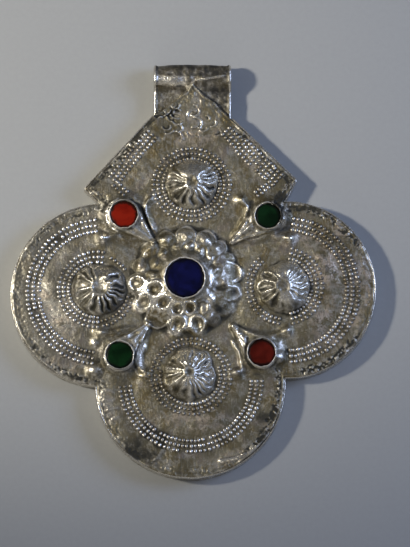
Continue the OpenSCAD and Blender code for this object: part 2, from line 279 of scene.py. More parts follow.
def raiseFlower(work):
    part, x, y = nearPoint(work["at"], work["radius"] + 2.5)
    x, y = x + 0.3 * softNoise(x, y, 2.6, 61), y + 0.3 * softNoise(x, y, 2.6, 62)
    r, turn = np.hypot(x, y), np.degrees(np.arctan2(y, x))
    edge, flat = work["radius"], work["flat"]

    # the mound is a flat cushion round the stone, but slopes evenly on its lower left
    middle, half = work["slope"]
    leaning = ease(half * 1.35, half * 0.8, turnedFrom(turn, middle))
    rightSide = ease(75, 45, np.abs(turn))
    mound = work["cushion"] * ease(edge, edge - 1.5 - 1.6 * rightSide, r) * (1 - 0.25 * ease(7, 12, r))
    mound += (work["height"] - work["cushion"]) * ease(flat + 2.6, flat, r)
    flank = (work["height"] - work["fall"] * np.clip(r - flat, 0, None)) * ease(edge, edge - 1.4, r)
    mound += (flank - mound) * leaning

    outline, nearest, second = (np.full(r.shape, 9.0) for _ in range(3))
    leaf, knobs, rims, pits, rings, fill = (np.zeros_like(r) for _ in range(6))
    for n, (angle, away, size, pit, knob, rim) in enumerate(work["petals"]):
        c, s = math.cos(math.radians(angle)), math.sin(math.radians(angle))
        along, across = x * c + y * s - away, -x * s + y * c
        q = np.hypot(along / (size * 1.08), across / size)
        outer = away > 10
        if outer:
            outline = np.minimum(outline, q)
        if pit > 0.5:
            fill = np.maximum(fill, ease(1.7, 1.25, q))
            nearest, second = np.minimum(nearest, q), np.minimum(second, np.maximum(nearest, q))
            rings = np.maximum(rings, bell((q - 1) * size, 0.4))
        else:
            inward = 1.9 if -60 < angle < 100 else 1.08
            tongue = np.hypot(along / (size * np.where(along < 0, inward, 1.08)), across / size)
            leaf = np.maximum(leaf, ease(1.15, 0.7, tongue) if outer else 0.45 * ease(1.15, 0.7, q))
        rims = np.maximum(rims, rim * bell(q - 0.95, 0.24 / size) * ease(-0.9, 0.6, along))
        aside = np.hypot(along - 0.15 * math.sin(n), across - 0.2 * math.cos(2 * n)) / (size * 0.5)
        knobs = np.maximum(knobs, knob * bell(aside, 1))
        pits = np.maximum(pits, pit * ease(0.88, 0.2, q))
    web = ease(0.85, 1.05, nearest) * ease(2.05, 1.55, second) * (0.2 + 0.8 * leaning)
    rings = np.maximum(rings, web)
    rims *= np.maximum(ease(0.8, 0.92, outline), ease(10.5, 9.5, r))
    lift = np.maximum(work["petal"] * leaf, 0.3 * fill) + work["web"] * rings + work["knob"] * knobs
    lift += work["rim"] * rims - work["pit"] * pits
    lift += (0.07 - 0.04 * rightSide) * softNoise(x, y, 0.9, 63) * np.maximum(leaf, fill)
    relief[part] += mound + lift * ease(flat - 0.1, flat + 0.6, r)

    # painted shade: the upper left and the lower right stay duller, and the lower right is darker. Painted
    # highlights: the edge beside the stone's right and one fold below it shine, and the rims, knobs and the
    # web round the pits are bright, most of all on the lower left, which leans towards the lamp, with some
    # wear. The hollows between the petals are darker, dirt and painted shade; the pits are lighter.
    upperLeft = ease(92, 115, turn)
    dullAndShaded[part] = np.maximum(dullAndShaded[part], 0.6 * upperLeft * (r > flat) * (r < edge - 1))
    inside = ease(edge + 1.2, edge + 0.4, r)
    paintedGlow = bell(r - 6.2, 0.8) * ease(50, 20, np.abs(turn - 8))
    paintedGlow += bell(turn + 44, 13) * ease(5.8, 6.8, r) * ease(10, 8.5, r)
    paintedGlow *= 0.8 + 0.5 * softNoise(x, y, 1.2, 64)
    shaded = ease(-105, -70, turn) * ease(0, -25, turn) * ease(8.0, 10.0, r)
    duller = (1 - 0.4 * upperLeft - 0.5 * shaded
              - 0.45 * ease(-15, 0, turn) * ease(52, 40, turn) * ease(9.2, 10.2, r))
    hollows = 1 - np.maximum(leaf, fill)
    hollows += 0.6 * ease(0.35, 0.05, knobs) * (1 - fill) * ease(flat + 0.3, flat + 1.2, r)
    grime[part] += inside * (-0.35 * pits + (0.3 + 0.15 * shaded) * hollows)
    rubbedAndLit = 0.2 + 1.0 * rims + 0.5 * knobs + rings * (0.4 + leaning) + 1.3 * fill * leaning * (1 - pits)
    rubbedAndLit += 0.1 * web
    rubbedAndLit += 1.3 * paintedGlow
    rubbedAndLit += 0.12 * rightSide
    polish[part] += duller * inside * rubbedAndLit


raiseFlower(flower)
print("stage: flower raised")

# A corner setting: a pear-shaped bed for a stone, its stem, and a horn with a knob on either side
settings = {
    "topLeft": {"tip": (-9.9, 7.2), "stone": (-17.2, 13.9), "glass": 3.4, "seat": 1.6, "seed": 31,
                "horns": ("wide", "thin")},
    "topRight": {"tip": (9.6, 7.2), "stone": (18.5, 13.5), "glass": 3.15, "seat": 1.6, "seed": 32,
                 "horns": ("slim", "long")},
    "bottomLeft": {"tip": (-11.2, -13.6), "stone": (-18.2, -21.3), "glass": 3.4, "seat": 1.6, "seed": 33,
                   "horns": ("close", "plain")},
    "bottomRight": {"tip": (9.9, -13.9), "stone": (16.9, -20.7), "glass": 3.4, "seat": 1.6, "seed": 34,
                    "horns": ("short", "crook"), "ribbed": 0.05},
}
settingForm = {"reach": 13.5, "bed": 1.25, "stem": 0.75, "horn": 0.85, "join": 0.3, "rough": 0.06}
# each horn's rows: along the stem from the stone, away from the stem, radius
hornPaths = {
    "plain": [(-10.2, 0.85, 0.45), (-8.3, 1.5, 0.65), (-6.0, 2.9, 0.75), (-3.7, 4.3, 0.85), (-2.3, 5.8, 1.0),
              (-1.5, 7.2, 1.5)],
    "wide": [(-9.6, 1.0, 0.45), (-7.5, 2.0, 0.6), (-5.0, 3.4, 0.75), (-2.6, 4.6, 0.9), (-1.0, 6.0, 1.0),
             (-0.1, 7.6, 1.3)],
    "slim": [(-10.2, 0.7, 0.45), (-8.4, 1.6, 0.6), (-6.5, 2.4, 0.65), (-4.3, 3.5, 0.7), (-2.8, 5.2, 0.75),
             (-2.8, 6.4, 0.8), (-2.9, 7.5, 1.0)],
    "thin": [(-8.8, 2.0, 0.3), (-7.9, 2.5, 0.5), (-5.0, 3.7, 0.6), (-2.6, 4.7, 0.7), (-2.0, 6.2, 0.7),
             (-1.9, 7.6, 0.9)],
    "long": [(-9.5, 0.9, 0.45), (-7.3, 1.9, 0.6), (-5.1, 3.2, 0.7), (-2.0, 4.2, 0.9), (0.2, 6.0, 1.0),
             (1.2, 7.7, 1.2)],
    "close": [(-9.3, 1.0, 0.45), (-7.4, 1.8, 0.6), (-5.5, 2.6, 0.8), (-3.2, 3.4, 0.8), (-1.7, 4.4, 0.8),
              (-0.9, 6.2, 0.9), (-1.0, 7.8, 1.1)],
    "short": [(-4.5, 2.6, 0.5), (-1.8, 4.0, 0.8), (-0.3, 6.0, 0.8), (0.6, 8.3, 1.1)],
    "crook": [(-7.3, 2.8, 0.3), (-6.0, 3.1, 0.45), (-4.4, 3.6, 0.55), (-2.1, 4.8, 0.6), (-0.9, 6.0, 0.7),
              (-0.8, 7.4, 0.9), (-1.4, 8.8, 0.8)],
}


def ridgeLift(u, v, path, fullness):
    # height of a soft ridge along a path whose rows are u, v and radius
    lift = np.zeros_like(u)
    for a, b in zip(path, path[1:]):
        t, d = fromLine(u, v, a, b)
        rad = a[2] + t * (b[2] - a[2])
        roof = 0.5 * ease(1.9, 0.6, d / rad) + 0.5 * np.clip(1 - d / (0.9 * rad), 0, 1)
        lift = np.maximum(lift, fullness * rad * roof)
    return lift


def raiseSetting(tip, stone, glass, seat, seed, horns, ribbed=0.16):
    form = settingForm
    reach = math.hypot(stone[0] - tip[0], stone[1] - tip[1])
    c, s = (stone[0] - tip[0]) / reach, (stone[1] - tip[1]) / reach
    part, x, y = nearPoint(stone, form["reach"])
    u, v = x * c + y * s, -x * s + y * c
    back = np.clip(-u, 0, reach)
    bedR, narrow = glass + form["bed"], form["stem"]
    wide = narrow + (bedR - narrow) * np.clip(1 - (back - 1.0) / (reach - 1.0), 0, 1) ** 1.3
    q = np.where(u > 0, np.hypot(u, v), np.hypot(np.clip(-u - reach, 0, None), v))
    q = q / np.where(u > 0, bedR, wide)
    high = seat * (1 - 0.35 * ease(3.5, reach, back))
    stem = high * (0.35 * ease(1.5, 0.9, q) + 0.65 * ease(1.08, 0.72, q))
    r = np.hypot(u, v)
    onStem = ease(glass + 0.8, glass + 1.8, -u) * ease(1.0, 0.8, q)
    ribs = softNoise(u * 0.35, v, 0.75, seed + 3)
    ribs += 0.6 * np.sin(2.0 * math.pi * v / np.maximum(wide, 0.6) + seed)
    stem += ribbed * onStem * ribs
    stem = np.where(r < glass + 0.55, np.maximum(stem, seat), stem)
    du, dv = 0.4 * softNoise(x, y, 2.2, seed + 5), 0.4 * softNoise(x, y, 2.2, seed + 9)
    first, other = (hornPaths[key] for key in horns)
    horns = np.maximum(ridgeLift(u + du, v + dv, first, form["horn"]),
                       ridgeLift(u + du, -v + dv, other, form["horn"]))
    lift = np.maximum(stem, horns) + form["join"] * np.minimum(stem, horns)
    lift += form["rough"] * softNoise(x, y, 0.9, seed) * ease(0.05, 0.4, lift)
    relief[part] += np.clip(lift, 0, None)
    # the foot of the bed, a ring round the collar and the valleys beside the horns are darker: dirt and
    # painted shade; raised work is brightened by wear
    grime[part] += 0.35 * bell(q - 1.12, 0.12) * ease(reach, reach - 2.5, back)
    grime[part] += 0.75 * bell(r - glass - 0.65, 0.32)
    valley = ease(0.45, 0.1, lift) * ease(3.0, 1.0, r - bedR) * ease(2.0, -2.0, u) * (np.abs(v) < 6.5)
    grime[part] += 0.35 * valley
    dullAndShaded[part] = np.maximum(dullAndShaded[part], ease(0.1, 0.4, horns) * (horns > stem))
    polish[part] += 0.3 * ease(0.2, 0.9, lift)


for work in settings.values():
    raiseSetting(**work)

# Swellings beside the stones, and dents: x, y, radius and height; pits: x, y and radius
swellings = [
    (-24.4, -24.9, 1.9, 1.2), (21.6, -21.6, 1.6, 1.0), (22.6, 12.8, 1.6, 1.0), (10.6, -25.5, 1.2, 0.8),
    (-22.4, 8.4, 1.2, 0.5), (-24.2, -18.1, 1.2, 0.5), (23.7, 8.3, 1.1, 0.5), (23.2, -15.2, 1.1, 0.5),
]
dents = [
    (-13.0, -44.5, 3.2, -0.25), (-29.0, -10.0, 4.0, 0.25), (33.0, 1.0, 5.0, 0.25), (-36.0, 6.0, 3.5, -0.2),
    (12.0, 30.0, 3.0, -0.2), (-14.0, 26.0, 3.0, 0.2), (5.0, -40.0, 4.5, 0.2), (36.0, -14.0, 4.0, -0.2),
]
pits = [
    (18.3, -37.3, 0.35), (29.7, -24.8, 0.3), (31.4, -24.6, 0.35), (32.4, -24.3, 0.3), (27.2, -25.5, 0.25),
    (34.6, -23.5, 0.3), (40.0, 7.0, 0.3), (-37.7, 10.5, 0.3), (-23.1, -34.8, 0.3), (-27.5, -26.8, 0.3),
]
for x, y, size, high in swellings + dents:
    part, u, v = nearPoint((x, y), size * 1.6)
    relief[part] += high * np.clip(1 - (np.hypot(u, v) / size / 1.4) ** 2, 0, 1) ** 2
for x, y, size in pits:
    part, u, v = nearPoint((x, y), size * 2.5)
    d = np.hypot(u, v) / size
    relief[part] -= 0.35 * bell(d, 1, 4)
    grime[part] += 1.6 * bell(d, 1.2, 4)
print("stage: settings, dents and pits")

# Darker creases, dirt and painted shade, and brighter lines, wear and painted highlights, beside the
# stones, on the petals and on the rim: points, half width, height, how dark (dirt and painted shade) and
# how bright (wear and painted highlight)
drawn = np.zeros_like(sheetX)
strokes = [
    ([(-15.2, 17.8), (-13.7, 16.8), (-12.5, 14.9), (-11.5, 12.5), (-10.8, 10.9)], 0.32, -0.45, 1.3, 0),
    ([(-11.0, 18.0), (-11.7, 16.6), (-11.7, 14.4), (-10.9, 12.4), (-9.9, 10.4)], 0.28, 0.3, 0, 0.7),
    ([(-13.2, -18.3), (-14.0, -20.4), (-14.7, -22.4), (-14.3, -24.0)], 0.3, -0.3, 0.8, 0),
    ([(-14.9, -17.4), (-14.2, -18.8), (-14.5, -20.6)], 0.6, 0.15, 0, 1.4),
    ([(-12.2, -18.8), (-13.0, -21.0), (-13.1, -23.2), (-12.3, -25.0)], 0.55, 0.1, 0, 1.3),
    ([(-14.3, -24.7), (-13.6, -26.0), (-12.3, -26.7), (-11.0, -26.3)], 0.3, 0.2, 0, 0.9),
    ([(20.6, 17.0), (21.5, 15.6), (21.7, 13.6), (21.2, 12.0)], 0.4, -0.4, 1.6, 0),
    ([(22.6, 14.0), (22.6, 12.0), (21.3, 11.0)], 0.4, 0.25, 0, 1.2),
    ([(10.4, 8.3), (12.0, 10.0), (13.2, 11.6)], 0.8, 0, 0, 1.0),
    ([(23.9, 9.3), (24.2, 7.6)], 0.5, 0.1, 0, 1.6),
    ([(20.4, 8.6), (21.8, 7.4)], 0.7, 0.1, 0, 0.6),
    ([(9.9, -14.0), (11.2, -15.6), (12.6, -17.4), (13.1, -18.6)], 0.5, 0.35, 0, 1.1),
    ([(11.4, -14.1), (13.4, -15.6), (15.0, -16.4)], 0.7, -0.1, 0.4, -0.5),
    ([(9.8, -17.7), (11.2, -20.1), (12.0, -22.6), (11.9, -24.4)], 0.3, 0.2, 0, 1.2),
    ([(13.4, -17.0), (13.0, -19.4), (13.3, -22.5), (14.6, -24.2)], 0.5, -0.25, 0.9, 0),
    ([(21.6, -18.6), (22.0, -20.6), (21.4, -22.4)], 0.6, 0.1, 0, 1.5),
    ([(23.5, -14.4), (23.7, -16.0)], 0.5, 0.1, 0, 1.6),
    ([(10.2, 7.6), (12.6, 9.9), (14.6, 11.6)], 0.3, 0.25, 0, 0.8),
    ([(11.6, 9.6), (12.9, 11.6), (13.9, 14.5), (13.2, 16.3), (12.1, 17.7)], 0.35, 0.2, 0, 0.8),
    ([(14.6, 17.2), (14.0, 14.8), (13.6, 12.2)], 0.5, -0.25, 0.9, 0),
    ([(-22.5, 9.3), (-22.4, 7.6)], 0.55, 0.15, 0, 1.4), ([(11.5, 18.1), (13.1, 16.3)], 0.5, 0.1, 0, 0.4),
    ([(-24.5, -17.2), (-24.4, -18.8)], 0.5, 0.1, 0, 1.4),
    ([(11.4, -24.9), (10.6, -25.5), (9.7, -25.7)], 0.5, 0.15, 0, 1.1),
    ([(-14.8, 10.9), (-12.8, 9.6), (-10.8, 8.2)], 0.4, 0.15, 0, 0.9),
    ([(-18.7, 18.1), (-20.6, 16.8), (-21.6, 14.7), (-21.5, 12.4), (-20.2, 10.5), (-18.7, 9.7)],
     0.3, 0.5, -0.3, 0.6),
    ([(-15.2, 33.0), (-12.6, 35.9), (-10.5, 38.3)], 0.75, -0.25, 1.2, 0),
    ([(8.2, 2.2), (10.4, 1.9), (11.7, 0.5), (11.8, -1.2), (9.9, -2.8)], 0.24, 0.15, 0, 0.9),
    ([(8.6, -4.0), (11.0, -4.2), (11.7, -6.0), (10.4, -7.4), (8.6, -7.6)], 0.24, 0.15, 0, 0.8),
    ([(6.8, -47.4), (10.5, -46.6), (13.8, -45.3), (16.6, -43.0)], 0.45, 0.4, 0, 1.3),
    ([(-7.6, -44.6), (-8.4, -46.0), (-9.6, -47.2)], 0.35, 0.25, 0, 0.8),
    ([(-22.0, -29.6), (-19.8, -30.2)], 0.3, 0.15, 0, 0.9),
    ([(-21.7, -32.2), (-19.4, -32.3)], 0.25, 0.15, 0, 0.9),
    ([(-21.0, -34.6), (-18.9, -34.2)], 0.3, 0.15, 0, 0.9),
    ([(-20.0, -37.0), (-18.2, -36.2)], 0.25, 0.15, 0, 0.8),
]
for points, half, high, dirtyAndShaded, rubbedAndLit in strokes:
    for a, b in zip(points, points[1:]):
        part, away = besideLine(a, b, 2.5 * half)
        drawn[part] = np.maximum(drawn[part], bell(away, half))
    relief += high * drawn
    grime += dirtyAndShaded * drawn
    polish += rubbedAndLit * drawn
    drawn[:] = 0

# Lighter and darker patches: wear, stains and a pale patina on the plain sheet, and also painted
# highlights and painted shade on the bosses and round the flower: x, y, half width, half height, how
# much wear and painted highlight, how much dirt and painted shade, and how pale
patches = [
    (-36.8, -8.5, 2.2, 6.0, 0.45, 0, 0.4), (-31.5, -11.5, 4.0, 5.0, 0.6, 0, 0.35),
    (-31.0, -23.0, 6.0, 2.2, 0.5, 0, 0.3), (-15.5, 31.0, 3.5, 3.5, 0.3, 0, 0.15),
    (-13.0, 24.5, 3.5, 2.5, 0.3, 0, 0.1), (33.0, 1.0, 3.4, 5.5, 0.15, 0, 1.0),
    (42.6, -3.0, 1.6, 9.0, 0.5, 0, 0.6), (-21.3, -33.5, 1.7, 6.0, 0.8, 0, 0.2),
    (10.0, -47.8, 9.0, 1.4, 0.3, 0, 0.3), (-6.2, -48.0, 0.9, 2.0, 1, 0, 0),
    (14.0, 30.5, 2.0, 6.0, 0.2, 0, 0.3), (-11.2, -43.4, 6.3, 4.8, -0.2, 0.75, 0),
    (16.5, -37.0, 2.0, 3.0, 0, 0.4, 0), (-8.5, -15.2, 2.5, 1.5, 0, 0.3, 0),
    (-26.5, 8.0, 6.0, 2.0, 0, 0.12, 0), (20.0, -12.0, 4.0, 1.5, 0, 0.2, 0),
    (25.0, -31.5, 5.0, 1.5, 0, 0.3, 0), (31.0, -10.5, 3.5, 4.0, 0.2, 0, 0.8),
    (0.0, 33.5, 5.0, 2.5, 0.1, 0, 0.5), (1.0, -37.2, 8.5, 2.8, 0.15, 0, 0.6),
    (-11.7, 36.7, 0.9, 2.3, 0, 0.8, 0), (13.0, -45.8, 5.0, 1.8, 0.1, 0, 0.45),
    (19.0, -40.5, 2.4, 3.0, 0, 0, 0.4), (-6.1, 36.3, 2.0, 2.2, 0, 0.5, 0),
    (36.0, 10.5, 3.0, 3.0, 0.1, 0, 0.5), (28.5, 8.0, 4.0, 2.5, 0.1, 0, 0.6),
    (40.0, -12.0, 2.0, 5.0, 0.15, 0, 0.5), (22.0, 18.6, 1.9, 1.2, 0, 1.0, 0),
    (27.5, 15.8, 4.0, 1.0, 0, 0.8, 0), (22.5, 12.5, 0.7, 1.7, 1.2, 0, 0),
    # among the next rows: painted highlights on the left boss's top and centre, darker patches above and
    # below the right boss, and painted shade below the bottom boss
    (-42.0, -3.0, 2.2, 12.0, -0.15, 0.0, 0), (-22.5, 0.4, 2.6, 1.5, 1.0, -0.1, 0),
    (-23.2, -3.8, 1.7, 1.7, 0.5, -0.4, 0), (22.5, 0.6, 2.6, 1.4, -0.2, 0.25, 0),
    (22.5, -9.0, 2.6, 1.6, -0.2, 0.25, 0), (-36.0, 5.5, 3.0, 3.5, 0, 0.15, 0),
    (35.5, -5.5, 1.5, 3.5, 0, 0.2, 0), (33.5, -8.0, 2.2, 1.2, 0, 0.3, 0),
    (-1.0, -31.0, 2.8, 1.5, -0.2, 0.2, 0), (38.0, -4.0, 4.5, 10.0, 0.15, 0, 0.4),
    (33.0, -17.5, 5.0, 3.0, 0.15, 0, 0.4), (25.0, 10.5, 4.0, 1.5, 0.15, 0, 0.3),
    (-24.6, 21.8, 1.4, 1.6, 0, 0.7, 0), (-21.6, 25.8, 1.3, 1.0, 0, 0.6, 0),
    (-17.6, 30.2, 1.0, 1.6, 0.3, 0, 0), (-15.0, 33.4, 1.0, 1.4, 0.2, 0, 0),
    (17.6, -41.3, 1.6, 2.4, 0, 0.55, 0), (17.2, -36.6, 2.8, 1.4, 0, 0.4, 0),
    # most of the last rows are painted shade and painted highlights round the flower's right and below it
    (-13.6, -45.2, 4.2, 2.6, 0, 0.12, 0), (7.2, -4.5, 1.5, 1.0, -0.4, 0.9, 0),
    (9.9, -5.7, 1.1, 1.0, -0.3, 0.6, 0), (9.8, -0.4, 1.3, 1.2, -0.2, 0.35, 0),
    (6.2, -9.6, 1.4, 1.4, -0.2, 0.8, 0), (9.8, -11.6, 2.2, 1.3, -0.1, 0.35, 0),
    (-1.5, -15.4, 4.0, 1.1, -0.1, 0.3, 0), (4.7, -2.6, 0.8, 1.3, 0.9, -0.2, 0),
    (4.2, -7.6, 0.7, 1.7, 0.9, -0.2, 0),
]
for x, y, wide, tall, rubbedAndLit, dirtyAndShaded, matt in patches:
    part, u, v = nearPoint((x, y), 1.7 * max(wide, tall))
    d = np.hypot(u / wide, v / tall) + 0.3 * sheetNoise(2.4, 15, part) + 0.15 * sheetNoise(0.8, 16, part)
    inPatch = ease(1.35, 0.5, d)
    polish[part] += rubbedAndLit * inPatch
    grime[part] += dirtyAndShaded * inPatch
    pale[part] = np.maximum(pale[part], matt * inPatch)

# Worn punch marks below the bail, scattered without any pattern: middle, half sides, how many and how deep.
# Each is a curved dent with a raised lip.
punchMarks = {"left": ((-6.2, 37.9), (2.9, 4.6), 24, 1.15), "right": ((2.9, 37.8), (2.8, 3.6), 10, 1.0)}
markDraw = np.random.default_rng(12)
for (cx, cy), (sx, sy), count, deep in punchMarks.values():
    for n in range(count):
        mx, my = cx + markDraw.uniform(-sx, sx), cy + markDraw.uniform(-sy, sy)
        size, start, sweep = markDraw.uniform(0.5, 1.6), markDraw.uniform(0, 360), markDraw.uniform(70, 210)
        part, x, y = nearPoint((mx, my), 3)
        d = np.hypot(x, y * 1.2) - size
        fade = ease(sweep / 2 + 12, sweep / 2 - 12, turnedFrom(np.degrees(np.arctan2(y, x)), start))
        relief[part] += deep * fade * (0.26 * bell(d - 0.34, 0.17) - 0.2 * bell(d, 0.22))
        grime[part] += 0.6 * deep * fade * bell(d, 0.26)
        polish[part] += 1.2 * deep * fade * bell(d - 0.34, 0.16)

# Bands of beads: centre, radii, start and end angle for rings and arcs, or points for the roof's rows; then
# how many rows, their spacing and how rubbed they are
beadWork = {"pitch": 1.05, "radius": 0.53, "wander": 0.07, "missing": 0.015}
beadBands = {
    "topRing": {"centre": (-0.42, 21.6), "radii": (8.3, 7.85), "turn": (0, 360), "rows": 3, "gap": 1.24,
                "worn": 0.38},
    "leftRing": {"centre": (-23.93, -4.71), "radii": (8.15, 8.2), "turn": (80, 272), "rows": 3, "gap": 1.25,
                 "worn": 0.8},
    "leftRingLow": {"centre": (-23.93, -4.71), "radii": (8.6, 8.6), "turn": (280, 346), "rows": 2,
                    "gap": 1.25, "worn": 0.5},
    "leftRingHigh": {"centre": (-23.93, -4.71), "radii": (8.5, 8.5), "turn": (36, 66), "rows": 1, "gap": 1.25,
                     "worn": 0.4},
    "rightRing": {"centre": (22.47, -3.88), "radii": (8.2, 8.35), "turn": (-76, 78), "rows": 3, "gap": 1.25,
                  "worn": 0.42},
    "rightRingFar": {"centre": (22.47, -3.88), "radii": (8.7, 8.8), "turn": (132, 262), "rows": 2,
                     "gap": 1.25, "worn": 0.3},
    "bottomRing": {"centre": (-0.69, -26.3), "radii": (8.65, 8.3), "turn": (172, 385), "rows": 3, "gap": 1.25,
                   "worn": 0.38},
    "bottomRingHigh": {"centre": (-0.69, -26.3), "radii": (9.1, 8.75), "turn": (32, 166), "rows": 2,
                       "gap": 1.2, "worn": 0.3},
    "leftArc": {"centre": (-23.07, -5.26), "radii": (16.6, 16.6), "turn": (94, 264), "rows": 3, "gap": 1.46,
                "worn": 1.25},
    "rightArc": {"centre": (22.97, -4.76), "radii": (16.5, 16.55), "turn": (-86, 84), "rows": 3, "gap": 1.45,
                 "worn": 0.6, "size": 1.15},
    "bottomArc": {"centre": (-0.67, -27.56), "radii": (16.3, 16.2), "turn": (185, 360), "rows": 3,
                  "gap": 1.33, "worn": 0.75},
    "roofLeft": {"points": [(-10.2, 34.2), (-14.2, 29.7), (-17.9, 25.0), (-19.6, 22.9)], "rows": 3,
                 "gap": 1.25, "worn": 0.6},
    "roofLeftLow": {"points": [(-19.4, 21.9), (-16.9, 19.4)], "rows": 2, "gap": 1.25, "worn": 0.4},
    "roofRight": {"points": [(8.1, 35.1), (11.2, 32.0)], "rows": 3, "gap": 1.2, "worn": 0.5},
    "roofRightMid": {"points": [(11.9, 31.4), (18.6, 24.9)], "rows": 4, "gap": 1.2, "worn": 0.6},
    "roofRightEnd": {"points": [(19.1, 24.4), (20.9, 22.9)], "rows": 4, "gap": 1.1, "worn": 0.5},
    "roofRightLow": {"points": [(19.3, 22.0), (15.7, 19.3)], "rows": 2, "gap": 1.15, "worn": 0.5},
}


def bandPath(band, high=12.0):
    # the paths run well above the sheet, and the beads fall onto it
    if "points" in band:
        return [(x, y, high) for x, y in band["points"]]
    (cx, cy), (rx, ry), (start, end) = band["centre"], band["radii"], band["turn"]
    count = max(6, int(abs(end - start) / 3))
    angles = [math.radians(start + (end - start) * k / count) for k in range(count + 1)]
    return [(cx + rx * math.cos(a), cy + ry * math.sin(a), high) for a in angles]


# Between the bead rows the sheet is darker: dirt, and painted shade between the beads
nearBeads = np.full_like(sheetX, 9.0)
nearDirtAndShade = np.full_like(sheetX, 0.4)
for band in beadBands.values():
    half = band["gap"] * (band["rows"] - 1) / 2
    path = bandPath(band)
    for a, b in zip(path, path[1:]):
        part, away = besideLine(a, b, half + 1.0)
        away = away - half
        nearDirtAndShade[part] = np.where(away < nearBeads[part], 0.3 + 0.4 * band["worn"], nearDirtAndShade[part])
        nearBeads[part] = np.minimum(nearBeads[part], away)
grime += nearDirtAndShade * ease(0.9, 0.3, nearBeads) * (0.75 + 0.4 * sheetNoise(2.6, 80))


def insideLoop(x, y, corners):
    inside = np.zeros(x.shape, bool)
    for (ax, ay), (bx, by) in zip(corners, np.roll(corners, -1, axis=0)):
        if ay != by:
            inside ^= ((ay > y) != (by > y)) & (x < (bx - ax) * (y - ay) / (by - ay) + ax)
    return inside


def fromPolygon(x, y, corners):
    nearest = np.full(x.shape, 1e9)
    for a, b in zip(corners, np.roll(corners, -1, axis=0)):
        nearest = np.minimum(nearest, fromLine(x, y, a, b)[1])
    return np.where(insideLoop(x, y, corners), -nearest, nearest)


def gableCorners(withApex):
    apex = gable["apex"] if withApex else []
    return gable["left"] + apex + gable["right"] + gable["inside"]


def fromEdge(x, y):
    # distance from the box's outer edge, less than 0 inside
    d = fromPolygon(x, y, gableCorners(True))
    for (cx, cy), r in lobes:
        d = np.minimum(d, np.hypot(x - cx, y - cy) - r)
    return np.minimum(d, fromPolygon(x, y, underFlower))


inwards = -fromEdge(sheetX, sheetY)
edgeDents = sheetNoise(2.4, 41)
edgeWork = {
    "roll": 0.7, "drop": 0.2, "waves": 0.1, "calm": (187, 46, 30), "stain": 2.6, "blot": 0.1, "groove": 0.12,
}
# directions from the middle of the piece in which the rim is dirtiest: middle, half width and how dirty
dirtyRims = [(150, 26, 0.5), (218, 16, 0.7), (28, 20, 1.3), (-33, 12, 1.0), (-62, 12, 1.3), (63, 12, 0.6),
             (122, 14, 0.8)]

# the rim rolls over a little, in small waves, and is calm on the far left
aroundMiddle = np.degrees(np.arctan2(sheetY, sheetX)) % 360
calmMiddle, calmFrom, calmTo = edgeWork["calm"]
calmRim = ease(calmFrom, calmTo, np.abs(aroundMiddle - calmMiddle))
relief -= (edgeWork["drop"] * (1 - 0.5 * calmRim) * (1 + 0.5 * edgeDents)
           * (1 - ease(0, edgeWork["roll"], inwards)))
relief += edgeWork["waves"] * sheetNoise(1.7, 42) * (1 - ease(0.5, 2.6, inwards)) * (1 - 0.7 * calmRim)

# stains, blots and a thin dark line run along the rim, with bright flecks among them
edgeStain = ease(-0.5, 0.6, sheetNoise(4.5, 43)) * (0.6 + 0.6 * sheetNoise(1.1, 44))
rimDirt = np.full_like(sheetX, 0.15)
for middle, half, much in dirtyRims:
    rimDirt = np.maximum(rimDirt, much * ease(half * 1.3, half * 0.6, turnedFrom(aroundMiddle, middle)))
blots = ease(0.0, 0.45, sheetNoise(0.6, 45) + 0.9 * sheetNoise(0.32, 46))
blots *= bell(inwards - 1.7 - 0.5 * edgeDents, 0.75, 4)
relief -= edgeWork["blot"] * blots
rimLine = bell(inwards - 1.25 - 0.3 * edgeDents, 0.22) * ease(-0.1, 0.4, sheetNoise(1.6, 48))
grime += rimDirt * (1 - ease(0.3, edgeWork["stain"], inwards)) * 0.4 * edgeStain + 1.7 * rimDirt * blots
flecks = ease(0.1, 0.5, sheetNoise(0.6, 52) + 0.8 * sheetNoise(0.32, 53)) * (1 - blots)
flecks *= ease(2.6, 1.6, inwards) * np.clip(rimDirt - 0.15, 0, 1)
relief += edgeWork["blot"] * flecks
polish += 1.3 * flecks

# a dark groove lies just inside the rim, and the rim itself is rubbed here and there
rimGroove = bell(inwards - 1.0 - 0.25 * edgeDents, 0.28)
relief -= edgeWork["groove"] * rimGroove * (1 - 0.7 * calmRim)
grime += 0.45 * rimGroove * ease(-0.5, 0.3, sheetNoise(2.3, 50))
polish += 0.6 * (1 - ease(0.35, 0.8, inwards)) * ease(-0.3 - calmRim, 0.5 - calmRim, sheetNoise(2.0, 49))
polish += 1.2 * calmRim * (1 - ease(0.2, 0.5, inwards))
grime += 0.8 * rimLine * np.clip(rimDirt, 0.4, 1)

# The sheet's pointed tip laps up over the roll of the bail
eyeY, eyeZ = bail["eye"]
rollR = bail["eyeR"] + bail["strip"]
rollTop = eyeZ + np.sqrt(np.clip(rollR ** 2 - (sheetY - eyeY) ** 2, 0, None))
onRoll = (sheetY > 43) & (sheetY < eyeY)
relief = np.where(onRoll, np.maximum(relief, rollTop + 0.35 - box["face"]), relief)


def blurred(grid, reach):
    n = max(1, int(reach / gridStep))
    out = grid
    for axis in (0, 1):
        for _ in range(2):
            pad = [(0, 0), (0, 0)]
            pad[axis] = (n + 1, n)
            total = np.cumsum(np.pad(out, pad, mode="edge"), axis=axis)
            take = np.arange(grid.shape[axis])
            out = np.take(total, take + 2 * n + 1, axis=axis) - np.take(total, take, axis=axis)
            out = out / (2 * n + 1)
    return out


